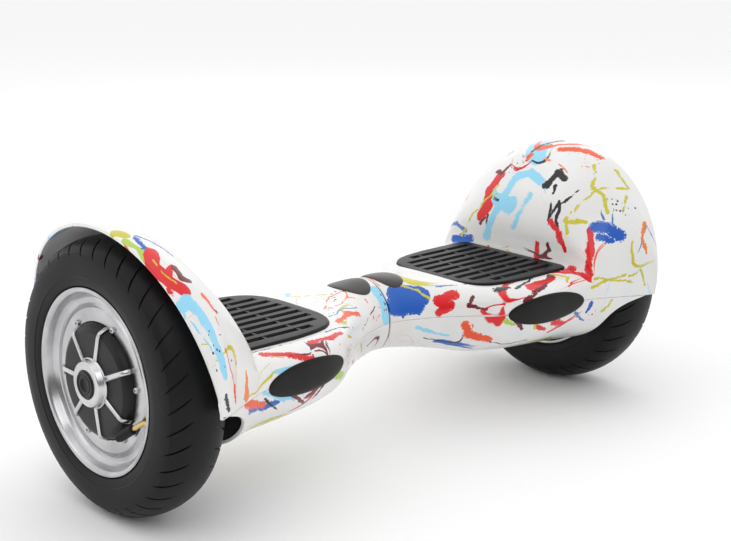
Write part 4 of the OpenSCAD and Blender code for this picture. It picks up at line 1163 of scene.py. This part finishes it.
def groove_points(y):
    """Cross sections of one groove along the pad: full depth, shallow over each cross rib."""
    x0, x1 = pad_reach(y), pad_high[0] - GROOVE_END
    stations = [(x0, 0.2), (x0 + 2.5, GROOVE_DEEP)]
    for share in BRIDGES:
        x = mix(pad_low[0], pad_high[0], share)
        if x > x0 + 8:
            stations += [(x - 2.0, GROOVE_DEEP), (x - 1.3, GROOVE_SHALLOW),
                         (x + 1.3, GROOVE_SHALLOW), (x + 2.0, GROOVE_DEEP)]
    stations += [(x1 - 2.5, GROOVE_DEEP), (x1, 0.2)]
    rows = []
    for x, deep in stations:
        wide = mix(GROOVE_HIGH, GROOVE_LOW, deep / GROOVE_DEEP)
        rows += [(x, y - GROOVE_HIGH - 0.3, PAD_TOP + 0.6), (x, y - wide, PAD_TOP - deep),
                 (x, y + wide, PAD_TOP - deep), (x, y + GROOVE_HIGH + 0.3, PAD_TOP + 0.6)]
    return rows, len(stations)


def make_pad(side, mirror):
    outline = pad_outline()
    n = len(outline)
    centre = np.mean(outline, axis=0)
    levels = [(PAD_BASE, 0.4), (PAD_BASE + 0.4, 0), (PAD_TOP - 1.4, 0), (PAD_TOP - 0.9, 0.15),
              (PAD_TOP - 0.4, 0.55), (PAD_TOP - 0.1, 1.1), (PAD_TOP, 1.8)]
    points = []
    for z, inset in levels:
        for p in outline:
            q = np.array(p) + unit(centre - np.array(p)) * inset
            points.append((q[0], q[1], z))
    faces = grid_faces(len(levels), n, closed_columns=True)
    faces += [tuple(reversed(range(n))), tuple(range((len(levels) - 1) * n, len(levels) * n))]
    pad = make_piece(side + "_foot_pad_ribbed", points, faces, side + "_pad", pad_rubber,
                     mirror)
    outward(pad)
    wide = pad_high[1]
    pitch = (wide * 2 - GROOVE_END * 2) / GROOVES
    points, faces = [], []
    for i in range(GROOVES):
        rows, count = groove_points(-wide + GROOVE_END + (i + 0.5) * pitch)
        start = len(points)
        points += rows
        faces += grid_faces(count, 4, start, closed_columns=True)
        faces += [(start + 3, start + 2, start + 1, start),
                  tuple(start + (count - 1) * 4 + k for k in range(4))]
    cut(pad, [make_piece("grooves", points, faces, None, cutter_paint, mirror)], 30)
    blades = []
    for y in (-BLADE_Y, BLADE_Y):
        x0, x1 = pad_low[0] + BLADE_X - BLADE_LONG, pad_low[0] + BLADE_X + BLADE_LONG
        y0, y1 = y - BLADE_WIDE, y + BLADE_WIDE
        blades.append(prism("blade", [(x0, y0), (x1, y0), (x1, y1), (x0, y1)],
                            PAD_BASE - BLADE_DROP, PAD_BASE + 1, mirror))
    join(pad, blades)
    smooth(pad, 30)
    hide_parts(side + "_foot_pad")


for side, mirror in SIDES:
    make_pad(side, mirror)

# ---- wheels --------------------------------------------------------------

TREAD_GROOVES = 38
# Radius of the seat under the tyre's bead.
SEAT_R = RIM_R - 5.2


def tyre_outline():
    """Outside of the tyre as (radius, distance out), from the bead to the middle of the tread."""
    seat = SEAT_R
    tall, w = WHEEL_R - seat, TYRE_HALF
    return [(seat + 0.2, 25.6), (RIM_R + 0.6, 26.1), (RIM_R + 1.3, 28.7), (RIM_R + 3, 29.6),
            (seat + tall * 0.3, w - 0.9), (seat + tall * 0.32, w - 0.3), (seat + tall * 0.5, w - 0.02),
            (seat + tall * 0.62, w - 0.7), (seat + tall * 0.7, w - 1.5), (seat + tall * 0.76, w - 2.6),
            (seat + tall * 0.775, w - 3.6), (seat + tall * 0.81, w - 4.6), (seat + tall * 0.86, w - 7.2),
            (seat + tall * 0.91, w - 11), (seat + tall * 0.95, w - 15.6), (seat + tall * 0.98, w - 21),
            (WHEEL_R - 0.25, 5), (WHEEL_R, 0)]


def tread_point(share, angle):
    """A point, normal and turn direction on the tread, from the shoulder (0) towards the middle (1)."""
    shape = np.array(tyre_outline())[7:17]
    run = np.concatenate([[0], np.cumsum(np.linalg.norm(np.diff(shape, axis=0), axis=1))])
    d = share * run[-1]
    r, u = np.interp(d, run, shape[:, 0]), np.interp(d, run, shape[:, 1])
    r2, u2 = np.interp(d + 0.5, run, shape[:, 0]), np.interp(d + 0.5, run, shape[:, 1])
    r1, u1 = np.interp(d - 0.5, run, shape[:, 0]), np.interp(d - 0.5, run, shape[:, 1])
    slope = unit(np.array([r2 - r1, u2 - u1]))
    nr, nu = -slope[1], slope[0]
    c, s = math.cos(angle), math.sin(angle)
    return (np.array([u, -r * c, r * s]), np.array([nu, -nr * c, nr * s]), np.array([0, s, c]))


def tread_cutter(mirror):
    """Narrow slanted slots round both shoulders of the tyre."""
    points, faces = [], []
    for face in (1, -1):
        for k in range(TREAD_GROOVES):
            base = 2 * math.pi * (k + (0.5 if face < 0 else 0)) / TREAD_GROOVES
            start, count = len(points), 9
            for i in range(count):
                q = i / (count - 1)
                p, n, t = tread_point(mix(0.1, 0.8, q), base + math.radians(7.0) * q ** 0.9)
                deep = 2.0 * min(1, 0.25 + 4 * q, 0.15 + 4 * (1 - q))
                half = 1.15 * min(1, 0.4 + 3 * q, 0.3 + 3 * (1 - q))
                for out, way in ((1.5, -1), (-deep, -0.7), (-deep, 0.7), (1.5, 1)):
                    v = p + n * out + t * way * half
                    points.append((WHEEL_X + face * v[0], v[1], AXLE_Z + v[2]))
            faces += grid_faces(count, 4, start, closed_columns=True)
            faces += [(start + 3, start + 2, start + 1, start),
                      tuple(start + (count - 1) * 4 + j for j in range(4))]
    return make_piece("tread_slots", points, faces, None, cutter_paint, mirror)


def make_tyre(side, mirror):
    outer = tyre_outline()
    seat = SEAT_R
    tall, w = WHEEL_R - seat, TYRE_HALF
    inner = [(WHEEL_R - 5.5, 0), (WHEEL_R - 7.5, w - 14), (seat + tall * 0.7, w - 6.4),
             (seat + tall * 0.48, w - 4.4), (seat + tall * 0.22, w - 5.6), (seat + 3, w - 10),
             (seat + 0.2, w - 14)]
    profile = outer + [(r, -u) for r, u in outer[-2::-1]]
    profile += [(r, -u) for r, u in inner[::-1]] + inner[1:]
    tyre = turned(side + "_tyre_treaded", profile, WHEEL_X, side + "_wheel", tyre_rubber,
                  mirror, 160 * DETAIL, 24)
    cut(tyre, [tread_cutter(mirror)], 24)
    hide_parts(side + "_tyre")


# Names in _U are distances out from the wheel's middle, along the axle.
# The rim's flat ring and its inner edge, and the motor cover's face.
RING_U = 20.5
RING_R = 53.0
FACE_U = 28.4
# The hub casting's boss, the plug in it and their outer end.
BOSS_R = 23.3
PLUG_R = 13.2
HUB_OUT = 38.0
# The motor's drum, the barrel outside it, the bearing and half the length of the magnets.
MOTOR_R = 68.0
BARREL_R = 74.0
BEARING_R = 17.5
CORE_HALF = 11.0
# The drum's inner end, the bed and the well of the rim, and the rim's lips.
DRUM_END_U = 19.3
BED_U = 14
WELL_U = 11
LIP_U = 29.5
# Ribs of the hub casting: their number, first angle and half width.
SPOKES = 7
SPOKE_A = 23.4
SPOKE_HALF = 2.1
# Screws of the motor cover: their number, circle and first angle.
SCREWS = 6
SCREW_R = 56.5
SCREW_A = 6


def wheel_spot(radius, angle, u):
    a = math.radians(angle)
    return np.array([WHEEL_X + u, -radius * math.cos(a), AXLE_Z + radius * math.sin(a)])


def wheel_axes(angle):
    """Directions away from the axle and round it, at an angle up from the front."""
    a = math.radians(angle)
    return np.array([0, -math.cos(a), math.sin(a)]), np.array([0, math.sin(a), math.cos(a)])


def make_rim(side, mirror):
    profile = [(RIM_R, LIP_U), (RIM_R - 3, LIP_U), (SEAT_R, LIP_U - 2), (SEAT_R - 2.5, RING_U + 0.5),
               (BARREL_R + 0.5, RING_U - 2.9), (BARREL_R - 4, RING_U - 3.3), (BARREL_R - 7, RING_U - 1.5),
               (BARREL_R - 8.5, RING_U), (RING_R, RING_U), (RING_R, RING_U - 4),
               (MOTOR_R - 1.3, RING_U - 4), (MOTOR_R - 1.3, CORE_HALF + 0.6), (MOTOR_R, CORE_HALF + 0.6),
               (MOTOR_R, -DRUM_END_U), (BARREL_R + 0.5, -DRUM_END_U), (RIM_R - 8, -25),
               (RIM_R - 3, -LIP_U), (RIM_R, -LIP_U), (RIM_R, 3 - LIP_U), (SEAT_R, 3.5 - LIP_U),
               (SEAT_R - 1, -BED_U), (BARREL_R, -WELL_U), (BARREL_R, WELL_U), (SEAT_R - 1, BED_U),
               (SEAT_R, LIP_U - 3.5), (RIM_R, LIP_U - 3)]
    rim = turned(side + "_rim_polished", soft_corners(profile, 1.1, 4), WHEEL_X, side + "_wheel",
                 rim_silver, mirror, 128 * DETAIL, 30)
    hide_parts(side + "_rim")


def make_cover(side, mirror):
    profile = [(BEARING_R, 12.6), (BEARING_R, 24.4), (PLUG_R + 1, 24.4), (PLUG_R + 1, FACE_U),
               (46, FACE_U), (50, 26), (RING_R - 0.2, RING_U), (RING_R - 0.2, RING_U - 4.05),
               (MOTOR_R - 1.4, RING_U - 4.05), (MOTOR_R - 1.4, 13.5), (50, 13.5), (48.5, 22.5), (44, 25),
               (23, 25), (22, 12.6)]
    cover = turned(side + "_motor_cover", soft_corners(profile, 1.6, 4), WHEEL_X, side + "_wheel",
                   cover_black, mirror, 96 * DETAIL, 30)
    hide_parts(side + "_outer_cover")


def rib_block(angle, mirror):
    """One flat rib from the boss out over the cover's edge and down to the rim's ring."""
    away, across = wheel_axes(angle)
    path = [(BOSS_R - 5, 30.4, FACE_U + 0.1), (BOSS_R + 4, 30.6, FACE_U + 0.1), (46, 30.5, FACE_U + 0.1),
            (48.4, 29.8, 27.4), (50.4, 28.6, 25.8), (52.2, 25.6, 22.6), (RING_R + 0.4, 23.0, RING_U + 0.12)]
    points = []
    for r, high, low in path:
        half = SPOKE_HALF + max(0, 40 - r) * 0.02
        for way, u in ((-1, low), (-1, high - 0.8), (-0.62, high), (0.62, high), (1, high - 0.8), (1, low)):
            points.append(np.array([WHEEL_X + u, 0, AXLE_Z]) + away * r + across * way * half)
    faces = grid_faces(len(path), 6, closed_columns=True)
    faces += [tuple(reversed(range(6))), tuple((len(path) - 1) * 6 + k for k in range(6))]
    return make_piece("rib", points, faces, None, cutter_paint, mirror)


def make_spider(side, mirror):
    profile = [(PLUG_R, FACE_U + 0.02), (BOSS_R, FACE_U + 0.02), (BOSS_R, FACE_U + 1.6),
               (BOSS_R - 1.2, FACE_U + 2.4), (20.4, HUB_OUT - 2.2), (19, HUB_OUT - 1.4),
               (PLUG_R, HUB_OUT - 1.4)]
    spider = turned(side + "_hub_spider", soft_corners(profile, 0.7, 3), WHEEL_X, side + "_wheel",
                    hub_silver, mirror, 96)
    ribs = [rib_block(SPOKE_A + i * 360 / SPOKES, mirror) for i in range(SPOKES)]
    join(spider, ribs)
    smooth(spider, 30)
    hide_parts(side + "_spider")


def make_plug(side, mirror):
    """The rubber plug over the axle's end, with a rolled edge and a small socket."""
    profile = [(0, 31), (PLUG_R - 0.05, 31), (PLUG_R - 0.05, HUB_OUT - 1.2), (PLUG_R - 1.1, HUB_OUT),
               (PLUG_R - 2.6, HUB_OUT), (PLUG_R - 3.2, HUB_OUT - 0.7), (8.6, HUB_OUT - 0.8),
               (8.1, HUB_OUT - 0.3), (6.4, HUB_OUT - 0.3), (5.8, HUB_OUT - 1.4), (4.6, HUB_OUT - 2.2),
               (0, HUB_OUT - 2.2)]
    plug = turned(side + "_hub_cap", soft_corners(profile, 0.3, 2), WHEEL_X, side + "_wheel",
                  cover_black, mirror, 96)
    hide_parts(side + "_hub_plug")


def make_screws(side, mirror):
    """Round-headed screws with a six-sided socket, standing on the rim's ring."""
    points, faces = [], []
    for i in range(SCREWS):
        centre = wheel_spot(SCREW_R, SCREW_A + i * 360 / SCREWS, 0)
        steps, start = 24, len(points)
        rings = [(1.9, 14), (1.9, RING_U + 0.02), (2.9, RING_U + 0.02), (2.9, RING_U + 1.5),
                 (2.6, RING_U + 2.1), (2.1, RING_U + 2.4), (1.45, RING_U + 2.4), (1.35, RING_U + 1.0)]
        for ring, (r, u) in enumerate(rings):
            for k in range(steps):
                a = 2 * math.pi * k / steps
                reach = r
                if ring >= 6:
                    reach = r * math.cos(math.pi / 6) / math.cos((a % (math.pi / 3)) - math.pi / 6)
                points.append(centre + np.array([u, reach * math.cos(a), reach * math.sin(a)]))
        faces += grid_faces(len(rings), steps, start, closed_columns=True)
        faces += [tuple(start + k for k in reversed(range(steps))),
                  tuple(start + (len(rings) - 1) * steps + k for k in range(steps))]
    screws = make_piece(side + "_cover_screw_heads", points, faces, side + "_wheel", steel,
                        mirror, 28)
    outward(screws)
    smooth(screws, 28)
    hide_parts(side + "_cover_screws")


# The valve: its angle, the height of its root, its radius, and how its tip turns back and rises.
VALVE_A = -16.0
VALVE_U = RING_U + 1.1
VALVE_R = 3.2
VALVE_TURN = 31
VALVE_RISE = 9.4


def tube_along(name, path, radii, body, material, mirror, steps=32, ridges=0, ridge_deep=0.0):
    """A round or ridged bar along points in space."""
    path = [np.array(p, float) for p in path]
    points = []
    side_way = unit(np.cross(path[-1] - path[0], (1, 0, 0)))
    for i, (p, r) in enumerate(zip(path, radii)):
        run = unit(path[min(i + 1, len(path) - 1)] - path[max(i - 1, 0)])
        first = unit(np.cross(run, side_way))
        second = np.cross(run, first)
        for k in range(steps):
            a = 2 * math.pi * k / steps
            reach = r - (ridge_deep if ridges and math.cos(a * ridges) > 0.2 else 0)
            points.append(p + (first * math.cos(a) + second * math.sin(a)) * reach)
    faces = grid_faces(len(path), steps, closed_columns=True)
    faces += [tuple(reversed(range(steps))), tuple((len(path) - 1) * steps + k for k in range(steps))]
    piece = make_piece(name, points, faces, body, material, mirror, 32)
    outward(piece)
    smooth(piece, 32)
    return piece


def make_valve(side, mirror):
    root = wheel_spot(RIM_R - 5.5, VALVE_A, VALVE_U)
    knee = wheel_spot(70.5, VALVE_A, VALVE_U)
    tip = wheel_spot(56, VALVE_A - VALVE_TURN, VALVE_U + VALVE_RISE)
    neck = mix(knee, tip, 0.42)
    path, radii = [root, mix(root, knee, 0.55), mix(root, knee, 0.6)], [VALVE_R, VALVE_R, 2.6]
    for k in range(9):
        t = k / 8
        start, end = mix(root, knee, 0.75), mix(knee, neck, 0.5)
        path.append(start * (1 - t) ** 2 + 2 * knee * t * (1 - t) + end * t * t)
        radii.append(2.4)
    path += [mix(knee, neck, 0.8), mix(knee, neck, 0.82), neck]
    radii += [2.4, 2.1, 2.1]
    stem = tube_along(side + "_valve_bent", path, radii, side + "_wheel", brass, mirror)
    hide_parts(side + "_valve_stem")
    lead = unit(tip - neck)
    length = np.linalg.norm(tip - neck)
    marks = [(0.02, 3.6), (0.3, 4.3), (4, 4.4), (length - 4.5, 4.4), (length - 4.2, 3.6),
             (length - 1.4, 3.4), (length - 0.4, 2.8), (length - 0.02, 1.8)]
    cap = tube_along(side + "_valve_cap_ridged", [neck + lead * d for d, _ in marks],
                     [r for _, r in marks], side + "_wheel", cover_black, mirror, 72,
                     18, 0.35)
    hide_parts(side + "_valve_cap")


for side, mirror in SIDES:
    make_tyre(side, mirror)
    make_rim(side, mirror)
    make_cover(side, mirror)
    make_spider(side, mirror)
    make_plug(side, mirror)
    make_screws(side, mirror)
    make_valve(side, mirror)

# ---- light, floor and camera ---------------------------------------------

scene = bpy.context.scene


def soft_light(name, place, aim, size, power):
    lamp = bpy.data.lights.new(name, "AREA")
    lamp.shape = "RECTANGLE"
    lamp.size, lamp.size_y = size
    lamp.energy = power
    light = bpy.data.objects.new(name, lamp)
    scene.collection.objects.link(light)
    light.location = place
    light.rotation_euler = (Vector(aim) - Vector(place)).to_track_quat("-Z", "Y").to_euler()


soft_light("key_light", (-1.6, -1.9, 2.3), (0, 0, 0.1), (2.0, 2.0), 15)
soft_light("side_light", (-2.6, 0.5, 1.2), (-0.25, 0, 0.12), (1.4, 2.2), 7)
soft_light("top_light", (0.3, 0.4, 2.6), (0, 0, 0.1), (2.6, 2.6), 5)
soft_light("rear_light", (1.8, 1.6, 1.5), (0.1, 0, 0.1), (2.0, 1.5), 3)

# The surroundings are bright behind the object and dim behind the camera.
world = bpy.data.worlds.new("studio")
scene.world = world
world.use_nodes = True
around = Tree(world.node_tree)
sky = world.node_tree.nodes["Background"]
ahead = around.vector("DOT_PRODUCT", around.add("ShaderNodeTexCoord").outputs["Generated"],
                      (0.67, 0.74, 0.6))
bright = around.math("MULTIPLY_ADD", ahead, 0.95, 0.72, clamp=True)
around.put(sky.inputs["Strength"], around.math("MULTIPLY_ADD", bright, 0.84, 0.2))
sky.inputs["Color"].default_value = (1, 1, 1, 1)

floor_mesh = bpy.data.meshes.new("studio_floor")
FLOOR_HALF = 30.0
floor_corners = [(x * FLOOR_HALF, y * FLOOR_HALF, 0) for x, y in ((-1, -1), (1, -1), (1, 1), (-1, 1))]
floor_mesh.from_pydata(floor_corners, [], [(0, 1, 2, 3)])
floor = bpy.data.objects.new("studio_floor", floor_mesh)
scene.collection.objects.link(floor)
floor_paint, _, floor_shader = new_paint("floor_white", Roughness=0.8)
floor_shader.inputs["Base Color"].default_value = (0.95, 0.95, 0.95, 1)
floor_mesh.materials.append(floor_paint)

camera_data = bpy.data.cameras.new("camera")
camera_data.lens = 74.84
camera_data.sensor_width = 36
camera_data.clip_end = 100
camera = bpy.data.objects.new("camera", camera_data)
scene.collection.objects.link(camera)
eye, target = Vector((-0.9992, -1.09, 0.5617)), Vector((0.0003, 0, 0.1721))
camera.location = eye
aim = (target - eye).to_track_quat("-Z", "Y")
camera.rotation_euler = (aim @ Matrix.Rotation(math.radians(0.2), 3, "Z").to_quaternion()).to_euler()
scene.camera = camera
scene.view_settings.view_transform = "Standard"
scene.view_settings.exposure = 0.08

bpy.data.materials.remove(cutter_paint)
